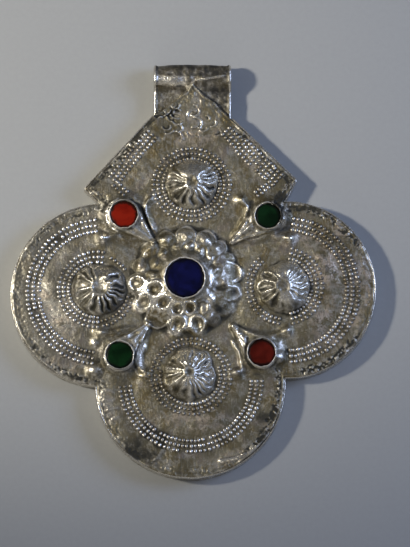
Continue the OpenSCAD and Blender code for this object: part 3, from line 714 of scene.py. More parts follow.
# What lies under the blurred relief is a hollow and is darker, dirt and painted shade, most of all the
# low ground beside raised work; what stands over it is worn
standsOver = relief - blurred(relief, 0.7)
lowGround = blurred(relief, 2.2) - relief
grime += 0.35 * ease(0.12, 0.7, lowGround) * (0.8 + 0.5 * sheetNoise(1.4, 54))
grime = np.clip(grime + np.clip(-standsOver / 0.3, 0, 1) * 0.6 * (0.8 + 0.6 * sheetNoise(1.8, 47)), 0, 1.4)
polish = np.clip(polish * 0.6 + np.clip(standsOver / 0.2, 0, 1) * 0.7 * (1 - 0.85 * dullAndShaded), 0, 1.2)
print("stage: front sheet worked out, highest", round(float(relief.max()), 2))


def movedIn(corners, d):
    # the corners of a polygon whose sides all lie d further in
    points = [Vector((x, y)) for x, y in corners]
    out = []
    for k, b in enumerate(points):
        a, c = points[k - 1], points[(k + 1) % len(points)]
        n0 = Vector(((b - a).y, -(b - a).x)).normalized() * d
        n1 = Vector(((c - b).y, -(c - b).x)).normalized() * d
        r, s, w = b - a, c - b, (b + n1) - (a + n0)
        t = (w.x * s.y - w.y * s.x) / (r.x * s.y - r.y * s.x)
        out.append(tuple(a + n0 + r * t))
    return out


def outerLoop(d, withApex, step):
    # the lobes and the gable run together, and their outline is walked at even steps
    shapes = [movedIn(gableCorners(withApex), d), underFlower]
    turns = [2 * math.pi * k / 240 for k in range(240)]
    for (cx, cy), r in lobes:
        shapes.append([(cx + (r - d) * math.cos(turn), cy + (r - d) * math.sin(turn)) for turn in turns])
    verts, faces = [], []
    for shape in shapes:
        faces.append(list(range(len(verts), len(verts) + len(shape))))
        verts += [Vector(p) for p in shape]
    points, _, tris, *_ = delaunay_2d_cdt(verts, [], faces, 1, 1e-5)
    once = {}
    for tri in tris:
        for a, b in zip(tri, tri[1:] + tri[:1]):
            if (b, a) in once:
                del once[(b, a)]
            else:
                once[(a, b)] = True
    nextOf = dict(once.keys())
    start = max(nextOf, key=lambda k: points[k].y)
    loop, k = [start], nextOf[start]
    while k != start:
        loop.append(k)
        k = nextOf[k]
    p = np.array([points[k] for k in loop])
    seg = np.hypot(*(np.roll(p, -1, axis=0) - p).T)
    along = np.concatenate([[0], np.cumsum(seg)])
    count = int(along[-1] / step)
    at = np.arange(count) * along[-1] / count
    closed = np.vstack([p, p[:1]])
    return np.stack([np.interp(at, along, closed[:, 0]), np.interp(at, along, closed[:, 1])], axis=1)


loopStep = 0.4      # between the points of the strip's and the back's outline


def loopNormals(loop):
    t = np.roll(loop, -1, axis=0) - np.roll(loop, 1, axis=0)
    t /= np.hypot(*t.T)[:, None]
    return np.stack([t[:, 1], -t[:, 0]], axis=1)      # outwards for a loop that runs anticlockwise


def unevenLoop(loop, amount, seed):
    s = np.arange(len(loop)) * 0.3
    n = softNoise(s, np.zeros_like(s), 5.0, seed) + 0.5 * softNoise(s, np.zeros_like(s), 1.6, seed + 1)
    fade = np.minimum(1, np.minimum(np.arange(len(loop)), np.arange(len(loop))[::-1]) / 10)
    return loop + loopNormals(loop) * (amount * n * fade)[:, None]


pointArea = {"x": (-46, 46), "y": (-52, 48)}


def hexPoints(step):
    rows = []
    for n, y in enumerate(np.arange(*pointArea["y"], step * math.sqrt(3) / 2)):
        xs = np.arange(*pointArea["x"], step) + (n % 2) * step / 2
        rows.append(np.stack([xs, np.full_like(xs, y)], axis=1))
    return np.vstack(rows)


def meshPiece(name, verts, faces, materials=(), smooth=True, values=None):
    mesh = bpy.data.meshes.new(name)
    mesh.from_pydata([tuple(v) for v in verts], [], faces)
    mesh.validate()
    for material in materials:
        mesh.materials.append(material)
    mesh.polygons.foreach_set("use_smooth", [smooth] * len(mesh.polygons))
    for key, numbers in (values or {}).items():
        layer = mesh.attributes.new(key, "FLOAT", "POINT")
        layer.data.foreach_set("value", np.asarray(numbers, np.float32))
    mesh.update()
    piece = bpy.data.objects.new(name, mesh)
    bpy.context.scene.collection.objects.link(piece)
    return piece


def addNode(tree, kind, inputs=None, **settings):
    node = tree.nodes.new(kind)
    for key, value in settings.items():
        setattr(node, key, value)
    for key, value in (inputs or {}).items():
        if isinstance(value, bpy.types.NodeSocket):
            tree.links.new(value, node.inputs[key])
        else:
            node.inputs[key].default_value = value
    return node


def outOf(tree, kind, inputs=None, **settings):
    return addNode(tree, kind, inputs, **settings).outputs[0]


def mathOf(tree, operation, a, b=0.0, clamp=False):
    return outOf(tree, "ShaderNodeMath", {0: a, 1: b}, operation=operation, use_clamp=clamp)


def times(tree, a, b, clamp=False):
    return mathOf(tree, "MULTIPLY", a, b, clamp)


def addUp(tree, total, *others):
    for other in others:
        total = mathOf(tree, "ADD", total, other)
    return total


def mixOf(tree, factor, a, b):
    node = addNode(tree, "ShaderNodeMix", data_type="RGBA", clamp_factor=True)
    for n, value in {0: factor, 6: a, 7: b}.items():
        if isinstance(value, bpy.types.NodeSocket):
            tree.links.new(value, node.inputs[n])
        else:
            node.inputs[n].default_value = value if n == 0 else (*value, 1)
    return node.outputs[2]


def noiseOf(tree, vector, scale, detail=4.0, rough=0.6, distort=0.0):
    return addNode(tree, "ShaderNodeTexNoise", {
        "Vector": vector, "Scale": scale, "Detail": detail, "Roughness": rough,
        "Distortion": distort}).outputs["Fac"]


def spread(tree, value, low, high, outLow=0.0, outHigh=1.0):
    return outOf(tree, "ShaderNodeMapRange", {
        "Value": value, "From Min": low, "From Max": high, "To Min": outLow, "To Max": outHigh})


def readMark(tree, name):
    return addNode(tree, "ShaderNodeAttribute", attribute_name=name).outputs["Fac"]


def newFinish(name):
    material = bpy.data.materials.new(name)
    material.use_nodes = True
    tree = material.node_tree
    place = addNode(tree, "ShaderNodeTexCoord").outputs["Object"]
    return material, tree, tree.nodes["Principled BSDF"], place


def wire(tree, shader, values):
    for key, value in values.items():
        tree.links.new(value, shader.inputs[key])


# The noises of the silver and of its pale skin: scale, detail, roughness and distortion
silverNoise = {"clouds": (120, 5, 0.62, 0.8), "mottle": (380, 5, 0.65, 0.3), "grain": (1900, 4, 0.7),
               "stains": (190, 5, 0.62, 0.6), "spots": (850, 3, 0.6)}
skinNoise = {"flakes": (430, 5, 0.68, 0.4), "cracks": (230, 4, 0.62, 1.0)}


def oldSilver(name, look):
    material, tree, shader, place = newFinish(name)
    slant = outOf(tree, "ShaderNodeMapping", {
        "Vector": place, "Rotation": (0, 0, look["slant"]), "Scale": (1.0, 0.12, 1.0)})
    noise = {key: noiseOf(tree, place, *row) for key, row in silverNoise.items()}
    scratches = noiseOf(tree, slant, 3300, 3, 0.6)

    hue = mixOf(tree, spread(tree, noise["clouds"], 0.4, 0.6), look["brown"], look["grey"])
    hue = mixOf(tree, spread(tree, noise["stains"], 0.5, 0.62, 0.0, look["stained"]), hue, look["stain"])
    hue = mixOf(tree, spread(tree, noise["stains"], 0.47, 0.37, 0.0, look["stained"]), hue, look["bloom"])
    if "cool" in look:
        # the piece's left side is painted greyer, to offset the warm lamp light that falls there
        across = addNode(tree, "ShaderNodeSeparateXYZ", {"Vector": place}).outputs["X"]
        hue = mixOf(tree, spread(tree, across, -0.012, -0.036, 0.0, look["cool"]), hue, look["coolGrey"])

    tarnish = addUp(tree, spread(tree, noise["mottle"], 0.34, 0.66, 0.0, look["mottle"]),
                    spread(tree, noise["clouds"], 0.35, 0.65, 0.25, 0.0),
                    spread(tree, noise["grain"], 0.36, 0.64, -look["fleck"], look["fleck"]),
                    spread(tree, noise["spots"], 0.34, 0.66, -look["spots"], look["spots"]), look["tarnish"])
    # the marks of wear and highlight make the silver bright, those of dirt and shade make it dark; they hold
    # painted highlights and painted shade as well as wear and dirt
    tarnish = mathOf(tree, "SUBTRACT", tarnish, times(tree, readMark(tree, "polish"), 0.9), clamp=True)
    dirtyAndShaded = times(tree, readMark(tree, "grime"), spread(tree, noise["mottle"], 0.3, 0.6, 0.5, 1.15))
    dirtyAndShaded = mathOf(tree, "ADD", dirtyAndShaded, spread(tree, noise["grain"], 0.62, 0.74, 0.0, look["specks"]),
                   clamp=True)

    colour = mixOf(tree, tarnish, look["silver"], hue)
    if "matt" in look:
        # a pale matt skin that flakes and cracks
        patina = readMark(tree, "pale")
        skin = {key: noiseOf(tree, place, *row) for key, row in skinNoise.items()}
        matt = times(tree, patina, spread(tree, skin["flakes"], 0.42, 0.54, 1.45, 0.0), clamp=True)
        colour = mixOf(tree, matt, colour, look["matt"])
        cracks = mathOf(tree, "ABSOLUTE", mathOf(tree, "SUBTRACT", skin["cracks"], 0.5))
        cracks = times(tree, spread(tree, cracks, 0.0, 0.02, 0.75, 0.0), patina, clamp=True)
        colour = mixOf(tree, cracks, colour, look["dirtAndShade"])
    colour = mixOf(tree, spread(tree, scratches, 0.54, 0.7, 0.0, look["scratch"]), colour, look["silver"])
    colour = mixOf(tree, dirtyAndShaded, colour, look["dirtAndShade"])

    rough = mathOf(tree, "ADD", spread(tree, tarnish, 0.0, 1.0, *look["rough"]), times(tree, dirtyAndShaded, 0.2))
    rough = mathOf(tree, "ADD", rough, spread(tree, noise["grain"], 0.3, 0.7, -0.06, 0.06), clamp=True)
    height = addUp(tree, times(tree, noise["grain"], look["grain"]),
                   times(tree, noise["mottle"], look["waves"]),
                   times(tree, scratches, look["scratch"] * 0.25))
    bump = outOf(tree, "ShaderNodeBump", {"Strength": look["bump"], "Distance": 0.00025, "Height": height})
    wire(tree, shader, {
        "Base Color": colour, "Roughness": rough, "Normal": bump,
        "Metallic": spread(tree, dirtyAndShaded, 0.1, 1.0, look["metal"], 0.3 * look["metal"])})
    return material


silverLooks = {
    "worked": {"silver": (0.87, 0.825, 0.71), "brown": (0.178, 0.154, 0.094),
               "grey": (0.265, 0.24, 0.165), "dirtAndShade": (0.02, 0.018, 0.01), "tarnish": 0.66, "mottle": 0.56,
               "fleck": 0.2, "rough": (0.22, 0.44), "slant": 0.7, "scratch": 0.22, "specks": 0.4,
               "grain": 0.4, "waves": 1.9, "bump": 0.55, "metal": 0.97, "spots": 0.28, "stained": 0.75,
               "stain": (0.17, 0.13, 0.058), "bloom": (0.265, 0.225, 0.18), "matt": (0.58, 0.485, 0.375),
               "cool": 0.5, "coolGrey": (0.222, 0.216, 0.192)},
    "plain": {"silver": (0.66, 0.62, 0.53), "brown": (0.2, 0.16, 0.095), "grey": (0.27, 0.24, 0.18),
              "dirtAndShade": (0.035, 0.03, 0.02), "tarnish": 0.4, "mottle": 0.45, "fleck": 0.12,
              "rough": (0.26, 0.48), "slant": -0.5, "scratch": 0.35, "specks": 0.4, "grain": 0.4,
              "waves": 1.2, "bump": 0.45, "metal": 0.97, "spots": 0.15, "stained": 0.5,
              "stain": (0.17, 0.135, 0.075), "bloom": (0.27, 0.235, 0.2)},
    "bail": {"silver": (0.80, 0.76, 0.66), "brown": (0.12, 0.1, 0.06), "grey": (0.2, 0.18, 0.135),
             "dirtAndShade": (0.018, 0.016, 0.011), "tarnish": 0.58, "mottle": 0.5, "fleck": 0.2,
             "rough": (0.18, 0.4), "slant": 1.2, "scratch": 0.25, "specks": 0.6, "grain": 0.7,
             "waves": 2.2, "bump": 0.7, "metal": 0.97, "spots": 0.2, "stained": 0.6,
             "stain": (0.1, 0.085, 0.045), "bloom": (0.2, 0.175, 0.15)},
    "bead": {"silver": (0.90, 0.86, 0.77), "brown": (0.2, 0.165, 0.11), "grey": (0.28, 0.25, 0.19),
             "dirtAndShade": (0.024, 0.02, 0.012), "tarnish": 0.75, "mottle": 0.5, "fleck": 0.2,
             "rough": (0.22, 0.4), "slant": 0.7, "scratch": 0.0, "specks": 0.0, "grain": 0.3,
             "waves": 0.3, "bump": 0.2, "metal": 0.9, "spots": 0.1, "stained": 0.5,
             "stain": (0.17, 0.135, 0.075), "bloom": (0.28, 0.245, 0.215), "cool": 0.3,
             "coolGrey": (0.22, 0.22, 0.2)},
    "collar": {"silver": (0.95, 0.92, 0.85), "brown": (0.45, 0.4, 0.31), "grey": (0.56, 0.52, 0.44),
               "dirtAndShade": (0.04, 0.034, 0.022), "tarnish": 0.0, "mottle": 0.8, "fleck": 0.4,
               "rough": (0.28, 0.4), "slant": 0.3, "scratch": 0.2, "specks": 0.2, "grain": 0.3,
               "waves": 0.6, "bump": 0.3, "metal": 0.6, "spots": 0.2, "stained": 0.3,
               "stain": (0.4, 0.34, 0.24), "bloom": (0.5, 0.46, 0.42)},
}
silver = {key: oldSilver(key + "Silver", look) for key, look in silverLooks.items()}


def oldGlass(name, look):
    material, tree, shader, place = newFinish(name)
    cloud = spread(tree, noiseOf(tree, place, 260, 3, 0.5, 0.5), 0.38, 0.62)
    dust = spread(tree, noiseOf(tree, place, 5200, 2, 0.6), 0.66, 0.78, 0.0, 0.25)
    colour = mixOf(tree, cloud, look["deep"], look["light"])
    colour = mixOf(tree, dust, colour, look["dust"])
    # painted shade: a dark edge round the glass, reaching further in on its shaded side
    ragged = spread(tree, noiseOf(tree, place, 700, 4, 0.6), 0.3, 0.7, -0.14, 0.1)
    edge = mathOf(tree, "ADD", readMark(tree, "edgeShade"), ragged)
    colour = mixOf(tree, spread(tree, edge, 0.76, 0.94, 0.0, 0.97), colour, look["edge"])
    bump = outOf(tree, "ShaderNodeBump", {
        "Strength": 0.25, "Distance": 0.0001, "Height": noiseOf(tree, place, 600, 3, 0.5)})
    wire(tree, shader, {
        "Base Color": colour, "Normal": bump,
        "Roughness": spread(tree, cloud, 0.0, 1.0, look["rough"], look["rough"] + 0.12)})
    shader.inputs["IOR"].default_value = 1.5
    shader.inputs["Specular IOR Level"].default_value = look["shine"]
    return material


glassLooks = {
    "blue": {"deep": (0.0015, 0.002, 0.018), "light": (0.002, 0.003, 0.040), "dust": (0.01, 0.01, 0.03),
             "edge": (0.001, 0.001, 0.006), "rough": 0.3, "shine": 0.12},
    "redBright": {"deep": (0.13, 0.004, 0.0008), "light": (0.20, 0.008, 0.001), "dust": (0.2, 0.03, 0.01),
                  "edge": (0.02, 0.003, 0.001), "rough": 0.35, "shine": 0.1},
    "redDeep": {"deep": (0.045, 0.003, 0.001), "light": (0.085, 0.006, 0.002), "dust": (0.1, 0.02, 0.01),
                "edge": (0.01, 0.002, 0.001), "rough": 0.35, "shine": 0.1},
    "greenDark": {"deep": (0.0006, 0.007, 0.0015), "light": (0.001, 0.016, 0.003),
                  "dust": (0.006, 0.02, 0.01), "edge": (0.0008, 0.003, 0.001), "rough": 0.3,
                  "shine": 0.12},
    "greenLeft": {"deep": (0.0005, 0.009, 0.0015), "light": (0.001, 0.020, 0.003),
                  "dust": (0.006, 0.02, 0.01), "edge": (0.0008, 0.003, 0.001), "rough": 0.3,
                  "shine": 0.12},
}
glass = {key: oldGlass(key + "Glass", look) for key, look in glassLooks.items()}
print("stage: finishes made")

# The front sheet as a mesh: close points over the raised work, wider ones over the plain sheet
frontMesh = {
    "fine": 0.23, "wide": 0.5, "edge": 0.3, "uneven": 0.16, "roundStone": 7.5, "roundStem": 7, "rim": 3.0,
}
frontLoop = unevenLoop(outerLoop(box["ledge"], True, frontMesh["edge"]), frontMesh["uneven"], 51)


def fineWork(x, y):
    fine = np.hypot(x - flower["at"][0], y - flower["at"][1]) < flower["radius"] + 1
    for work in bossWork.values():
        fine |= np.hypot(x - work["at"][0], y - work["at"][1]) < bossForm["radius"] + 0.4
    for work in settings.values():
        (sx, sy), (tx, ty) = work["stone"], work["tip"]
        fine |= np.hypot(x - sx, y - sy) < frontMesh["roundStone"]
        fine |= np.hypot(x - (sx + tx) / 2, y - (sy + ty) / 2) < frontMesh["roundStem"]
    # the punch marks and the rim
    fine |= (y > 34) & (np.abs(x + 2.5) < 9)
    fine |= fromEdge(x, y) > -frontMesh["rim"]
    return fine


def frontPoints():
    inner = []
    for back, every in ((0.3, 1), (0.75, 2), (1.2, 2)):
        inner.append((frontLoop - loopNormals(frontLoop) * back)[::every])
    for step, wanted, clear in ((frontMesh["fine"], True, 0.5), (frontMesh["wide"], False, 1.5)):
        points = hexPoints(step)
        points = points[-fromEdge(*points.T) > box["ledge"] + clear]
        inner.append(points[fineWork(*points.T) == wanted])
    points = np.vstack(inner)
    points = points[-fromEdge(*points.T) > box["ledge"] + 0.2]
    return points[insideLoop(*points.T, frontLoop)]


def filledIn(loop, points=()):
    # a flat mesh inside a loop, whose own points come first
    every = [Vector(p) for p in loop] + [Vector(p) for p in points]
    flat, _, tris, *_ = delaunay_2d_cdt(every, [], [list(range(len(loop)))], 1, 1e-5)
    return np.array([tuple(v) for v in flat]), [list(t) for t in tris]


def bandFaces(count, low, high):
    # the faces between two loops of points
    return [[low + k, low + (k + 1) % count, high + (k + 1) % count, high + k] for k in range(count)]


def makeFrontSheet():
    count = len(frontLoop)
    p, faces = filledIn(frontLoop, frontPoints())
    total = len(p)
    high = box["face"] + gridValue(relief, *p.T)
    under = np.column_stack([p[:count], high[:count] - box["sheet"]])
    verts = np.vstack([np.column_stack([p, high]), under]) * mm
    faces += [[b, a, d, c] for a, b, c, d in bandFaces(count, 0, total)]
    faces += [[total + c, total + b, total + a] for a, b, c in filledIn(p[:count])[1]]
    values = {}
    for key, grid, below in (("grime", grime, 1), ("polish", polish, 0), ("pale", pale, 0)):
        values[key] = np.concatenate([gridValue(grid, *p.T), np.full(count, below)])
    print("stage: front sheet", total, "points", len(faces), "faces")
    return meshPiece("front_sheet", verts, faces, [silver["worked"]], True, values)


frontSheet = makeFrontSheet()
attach(frontSheet, body)
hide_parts("front_plate")


def newTree(name, wanted):
    tree = bpy.data.node_groups.new(name, "GeometryNodeTree")
    tree.interface.new_socket("Geometry", in_out="INPUT", socket_type="NodeSocketGeometry")
    for key, kind in wanted.items():
        tree.interface.new_socket(key, in_out="INPUT", socket_type="NodeSocket" + kind)
    tree.interface.new_socket("Geometry", in_out="OUTPUT", socket_type="NodeSocketGeometry")
    return tree, tree.nodes.new("NodeGroupInput").outputs


def endTree(tree, geometry, material):
    real = outOf(tree, "GeometryNodeRealizeInstances", {"Geometry": geometry})
    smooth = outOf(tree, "GeometryNodeSetShadeSmooth", {0: real, 2: True})
    painted = outOf(tree, "GeometryNodeSetMaterial", {"Geometry": smooth, "Material": material})
    end = tree.nodes.new("NodeGroupOutput")
    tree.links.new(painted, end.inputs[0])


def grown(piece, tree, values):
    worker = piece.modifiers.new(tree.name, "NODES")
    worker.node_group = tree
    for item in tree.interface.items_tree:
        if item.in_out == "INPUT" and item.name in values:
            worker[item.identifier] = values[item.name]
    view = bpy.context.evaluated_depsgraph_get()
    mesh = bpy.data.meshes.new_from_object(
        piece.evaluated_get(view), preserve_all_data_layers=True, depsgraph=view)
    piece.modifiers.remove(worker)
    old = piece.data
    piece.data = mesh
    bpy.data.meshes.remove(old)


def linePiece(name, points, closed=False):
    mesh = bpy.data.meshes.new(name)
    edges = [(k, k + 1) for k in range(len(points) - 1)] + ([(len(points) - 1, 0)] if closed else [])
    mesh.from_pydata([tuple(np.array(p) * mm) for p in points], edges, [])
    piece = bpy.data.objects.new(name, mesh)
    bpy.context.scene.collection.objects.link(piece)
    return piece


def vectorOf(tree, x=0.0, y=0.0, z=0.0):
    return outOf(tree, "ShaderNodeCombineXYZ", {0: x, 1: y, 2: z})


def placeOf(tree):
    return outOf(tree, "GeometryNodeInputPosition")


def scaled(tree, vector, by):
    return outOf(tree, "ShaderNodeVectorMath", {0: vector, "Scale": by}, operation="SCALE")


def plus(tree, a, b, operation="ADD"):
    return outOf(tree, "ShaderNodeVectorMath", {0: a, 1: b}, operation=operation)


def shaken(tree, colour, amount):
    return scaled(tree, plus(tree, colour, (0.5, 0.5, 0.5), "SUBTRACT"), amount)


def stored(tree, geometry, name, value, kind="FLOAT"):
    return outOf(tree, "GeometryNodeStoreNamedAttribute", {
        "Geometry": geometry, "Name": name, "Value": value}, data_type=kind, domain="POINT")


def moved(tree, geometry, offset):
    return outOf(tree, "GeometryNodeSetPosition", {"Geometry": geometry, "Offset": offset})


def aimedAlong(tree, vector):
    return outOf(tree, "FunctionNodeAlignRotationToVector", {"Vector": vector}, axis="X", pivot_axis="Z")


def roundedProfile(tree, wide, high, count, part):
    edge = outOf(tree, "GeometryNodeCurvePrimitiveQuadrilateral", {"Width": wide, "Height": high})
    return outOf(tree, "GeometryNodeFilletCurve", {
        "Curve": edge, "Count": count, "Radius": times(tree, wide, part)}, mode="POLY")


def swept(tree, path, profile, caps=True):
    return outOf(tree, "GeometryNodeCurveToMesh", {
        "Curve": path, "Profile Curve": profile, "Fill Caps": caps})


def evenPath(tree, mesh, step):
    path = outOf(tree, "GeometryNodeMeshToCurve", {"Mesh": mesh})
    return outOf(tree, "GeometryNodeResampleCurve", {"Curve": path, "Length": step}, mode="LENGTH")


# Bands of small punched beads: each band walks along its path with a few beads side by side
tree, given = newTree("beadBand", {
    "Sheet": "Object", "Pitch": "Float", "Rows": "Int", "Row Gap": "Float", "Bead Radius": "Float",
    "Wander": "Float", "Missing": "Float", "Seed": "Int", "Worn": "Float", "Silver": "Material"})
walk = outOf(tree, "GeometryNodeMeshToCurve", {"Mesh": given["Geometry"]})
steps = addNode(tree, "GeometryNodeCurveToPoints", {"Curve": walk, "Length": given["Pitch"]}, mode="LENGTH")
aside = times(tree, given["Row Gap"], times(tree, mathOf(tree, "SUBTRACT", given["Rows"], 1.0), -0.5))
row = outOf(tree, "GeometryNodeMeshLine", {
    "Count": given["Rows"], "Start Location": vectorOf(tree, 0.0, aside),
    "Offset": vectorOf(tree, 0.0, given["Row Gap"])}, mode="OFFSET")
stepPoints = stored(tree, steps.outputs["Points"], "alongBand", steps.outputs["Tangent"], "FLOAT_VECTOR")
spots = outOf(tree, "GeometryNodeInstanceOnPoints", {
    "Points": stepPoints, "Instance": row, "Rotation": aimedAlong(tree, steps.outputs["Tangent"])})
spots = outOf(tree, "GeometryNodeRealizeInstances", {"Geometry": spots})
drift = outOf(tree, "FunctionNodeRandomValue", {
    0: (-1, -1, 0), 1: (1, 1, 0), "Seed": given["Seed"]}, data_type="FLOAT_VECTOR")
spots = moved(tree, spots, scaled(tree, drift, given["Wander"]))

# the beads fall straight down onto the sheet
target = addNode(tree, "GeometryNodeObjectInfo", {"Object": given["Sheet"]}, transform_space="RELATIVE")
fall = addNode(tree, "GeometryNodeRaycast", {
    "Target Geometry": target.outputs["Geometry"], "Ray Direction": (0, 0, -1), "Ray Length": 0.03})
spots = outOf(tree, "GeometryNodeSetPosition", {
    "Geometry": spots, "Selection": fall.outputs["Is Hit"], "Position": fall.outputs["Hit Position"]})
worn = outOf(tree, "ShaderNodeTexNoise", {"Vector": placeOf(tree), "Scale": 150.0, "Detail": 3.0})
worn = spread(tree, worn, 0.36, 0.6)
spots = stored(tree, spots, "polish", times(tree, mathOf(tree, "ADD", worn, 0.35), given["Worn"]))

# each bead is darker towards its foot, dirt and painted shade; a few are missing, and no two are quite
# alike
ball = outOf(tree, "GeometryNodeMeshUVSphere", {"Segments": 8, "Rings": 6, "Radius": 1.0})
high = addNode(tree, "ShaderNodeSeparateXYZ", {0: placeOf(tree)}).outputs[2]
ball = stored(tree, ball, "grime", spread(tree, high, 0.2, 0.85, 1.0, 0.0))
kept = addNode(tree, "FunctionNodeRandomValue", {
    "Probability": mathOf(tree, "SUBTRACT", 1.0, given["Missing"]), "Seed": given["Seed"]},
    data_type="BOOLEAN").outputs[3]
girth = addNode(tree, "FunctionNodeRandomValue", {
    2: 0.78, 3: 1.1, "Seed": mathOf(tree, "ADD", given["Seed"], 17.0)}, data_type="FLOAT").outputs[1]
girth = times(tree, girth, given["Bead Radius"])
along = outOf(tree, "GeometryNodeInputNamedAttribute", {"Name": "alongBand"}, data_type="FLOAT_VECTOR")
balls = outOf(tree, "GeometryNodeInstanceOnPoints", {
    "Points": spots, "Selection": kept, "Instance": ball, "Rotation": aimedAlong(tree, along),
    "Scale": vectorOf(tree, *[times(tree, girth, part) for part in (0.94, 1.1, 0.8)])})
balls = outOf(tree, "GeometryNodeRemoveAttribute", {"Geometry": balls, "Name": "alongBand"})
endTree(tree, balls, given["Silver"])
beadTree = tree

for n, (name, band) in enumerate(beadBands.items()):
    piece = linePiece("beads_" + name, bandPath(band))
    grown(piece, beadTree, {
        "Sheet": frontSheet, "Pitch": beadWork["pitch"] * mm, "Rows": band["rows"],
        "Row Gap": band["gap"] * mm, "Bead Radius": beadWork["radius"] * band.get("size", 1.0) * mm,
        "Wander": beadWork["wander"] * mm, "Missing": beadWork["missing"], "Worn": band["worn"],
        "Seed": 100 + n, "Silver": silver["bead"]})
    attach(piece, body)
    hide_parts("front_plate")
beads = [o for o in bpy.data.objects if o.name.startswith("beads_")]
print("stage: beads", sum(len(o.data.polygons) for o in beads), "faces")

# Collars: a thin upright ring round each stone, a little wavy along its top, and darker on one side:
# painted shade, made uneven by noise
tree, given = newTree("collar", {
    "Radius": "Float", "Wall": "Float", "Height": "Float", "Middle": "Vector", "Wave": "Float", "Seed": "Int",
    "Dirty And Shaded Side": "Vector", "Dirt And Shade": "Float", "Silver": "Material"})
hoop = outOf(tree, "GeometryNodeCurvePrimitiveCircle", {"Resolution": 96, "Radius": given["Radius"]})
place = placeOf(tree)
wobble = addNode(tree, "ShaderNodeTexNoise", {
    "Vector": place, "W": times(tree, given["Seed"], 3.7), "Scale": 900.0, "Detail": 2.0},
    noise_dimensions="4D").outputs["Color"]
# painted shade on one side of the ring
onSide = addNode(tree, "ShaderNodeVectorMath", {
    0: outOf(tree, "ShaderNodeVectorMath", {0: place}, operation="NORMALIZE"), 1: given["Dirty And Shaded Side"]},
    operation="DOT_PRODUCT").outputs["Value"]
onSide = mathOf(tree, "ADD", onSide, outOf(tree, "ShaderNodeSeparateXYZ", {0: wobble}))
hoop = stored(tree, hoop, "grime", times(tree, spread(tree, onSide, 0.75, 1.25), given["Dirt And Shade"]))
hoop = moved(tree, hoop, plus(tree, shaken(tree, wobble, given["Wave"]), given["Middle"]))
hoop = outOf(tree, "GeometryNodeSetCurveNormal", {"Curve": hoop}, mode="Z_UP")
edge = roundedProfile(tree, given["Wall"], given["Height"], 3, 0.4)
endTree(tree, swept(tree, hoop, edge, False), given["Silver"])
collarTree = tree

stones = {
    # the last pair gives the direction of its darkest edge, where glass and collar get painted
    # shade, and how dark that is
    "stone_centre": {"at": (-2.1, -2.35), "r": 4.9, "seat": 8.2, "top": 8.95, "rim": 9.3, "wall": 0.27,
                     "glass": "blue", "slot": "blue_glass", "dirtyAndShaded": (-60, 0.2)},
    "stone_top_left": {"at": (-17.2, 13.9), "r": 3.4, "glass": "redBright", "slot": "red_glass",
                       "dirtyAndShaded": (60, 0.8)},
    "stone_top_right": {"at": (18.5, 13.5), "r": 3.15, "glass": "greenDark", "slot": "green_glass",
                        "dirtyAndShaded": (30, 1.1)},
    "stone_bottom_left": {"at": (-18.2, -21.3), "r": 3.4, "glass": "greenLeft", "slot": "green_glass",
                          "dirtyAndShaded": (-80, 0.6)},
    "stone_bottom_right": {"at": (16.9, -20.7), "r": 3.4, "glass": "redDeep", "slot": "red_glass",
                           "dirtyAndShaded": (85, 0.8)},
}
cornerStone = {"seat": 6.1, "top": 6.85, "rim": 7.25, "wall": 0.2}
# rub: how far its edge is rubbed down, and from where; foot: how far its flat back stays above its seat;
# the last value: how far the glass's dark edge, painted shade, reaches in on its shaded side
stoneWork = {"loose": 0.05, "aside": 0.06, "swell": 0.05, "rings": 14, "around": 72, "rub": (0.22, 0.93),
             "foot": 0.05, "rough": 0.03, "dirtAndShade": 0.13}
collarWork = {"foot": 0.9, "wave": 0.6, "gap": 0.13}


def makeStone(name, s, seed):
    work = stoneWork
    rings, count, swell, (rub, rubFrom) = work["rings"], work["around"], work["swell"], work["rub"]
    turn = np.linspace(0, 2 * math.pi, count, endpoint=False)
    outline = 1 + 0.016 * np.sin(3 * turn + seed) + 0.01 * np.sin(5 * turn + 2 * seed)
    outline *= s["r"] - work["loose"]
    at = (s["at"][0] + work["aside"], s["at"][1] - work["aside"])
    verts, faces = [(at[0], at[1], s["top"] + swell)], []
    for k in range(1, rings + 1):
        u = k / rings
        x, y = at[0] + outline * u * np.cos(turn), at[1] + outline * u * np.sin(turn)
        z = (s["top"] + swell * (1 - u * u) - rub * ease(rubFrom, 1.0, u)
             + work["rough"] * softNoise(x, y, 2.2, seed))
        verts += list(zip(x, y, z))
    verts += list(zip(x, y, np.full(count, s["seat"] + work["foot"])))
    for m in range(count):
        faces.append((0, 1 + m, 1 + (m + 1) % count))
    for k in range(rings):
        faces += [(a, d, c, b) for a, b, c, d in bandFaces(count, 1 + k * count, 1 + (k + 1) * count)]
    faces.append(tuple(1 + rings * count + m for m in reversed(range(count))))
    # painted shade: the glass darkens towards its edge, further in on its shaded side
    side, much = s["dirtyAndShaded"]
    onSide = work["dirtAndShade"] * much * ease(0.1, 0.8, np.cos(turn - math.radians(side)))
    ringsOut = [k / rings + onSide * (k / rings) for k in range(1, rings + 1)]
    away = np.concatenate([[0]] + ringsOut + [np.ones(count)])
    piece = meshPiece(name + "_glass", np.array(verts) * mm, faces, [glass[s["glass"]]], True,
                      {"edgeShade": away})
    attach(piece, body)
    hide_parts(name)


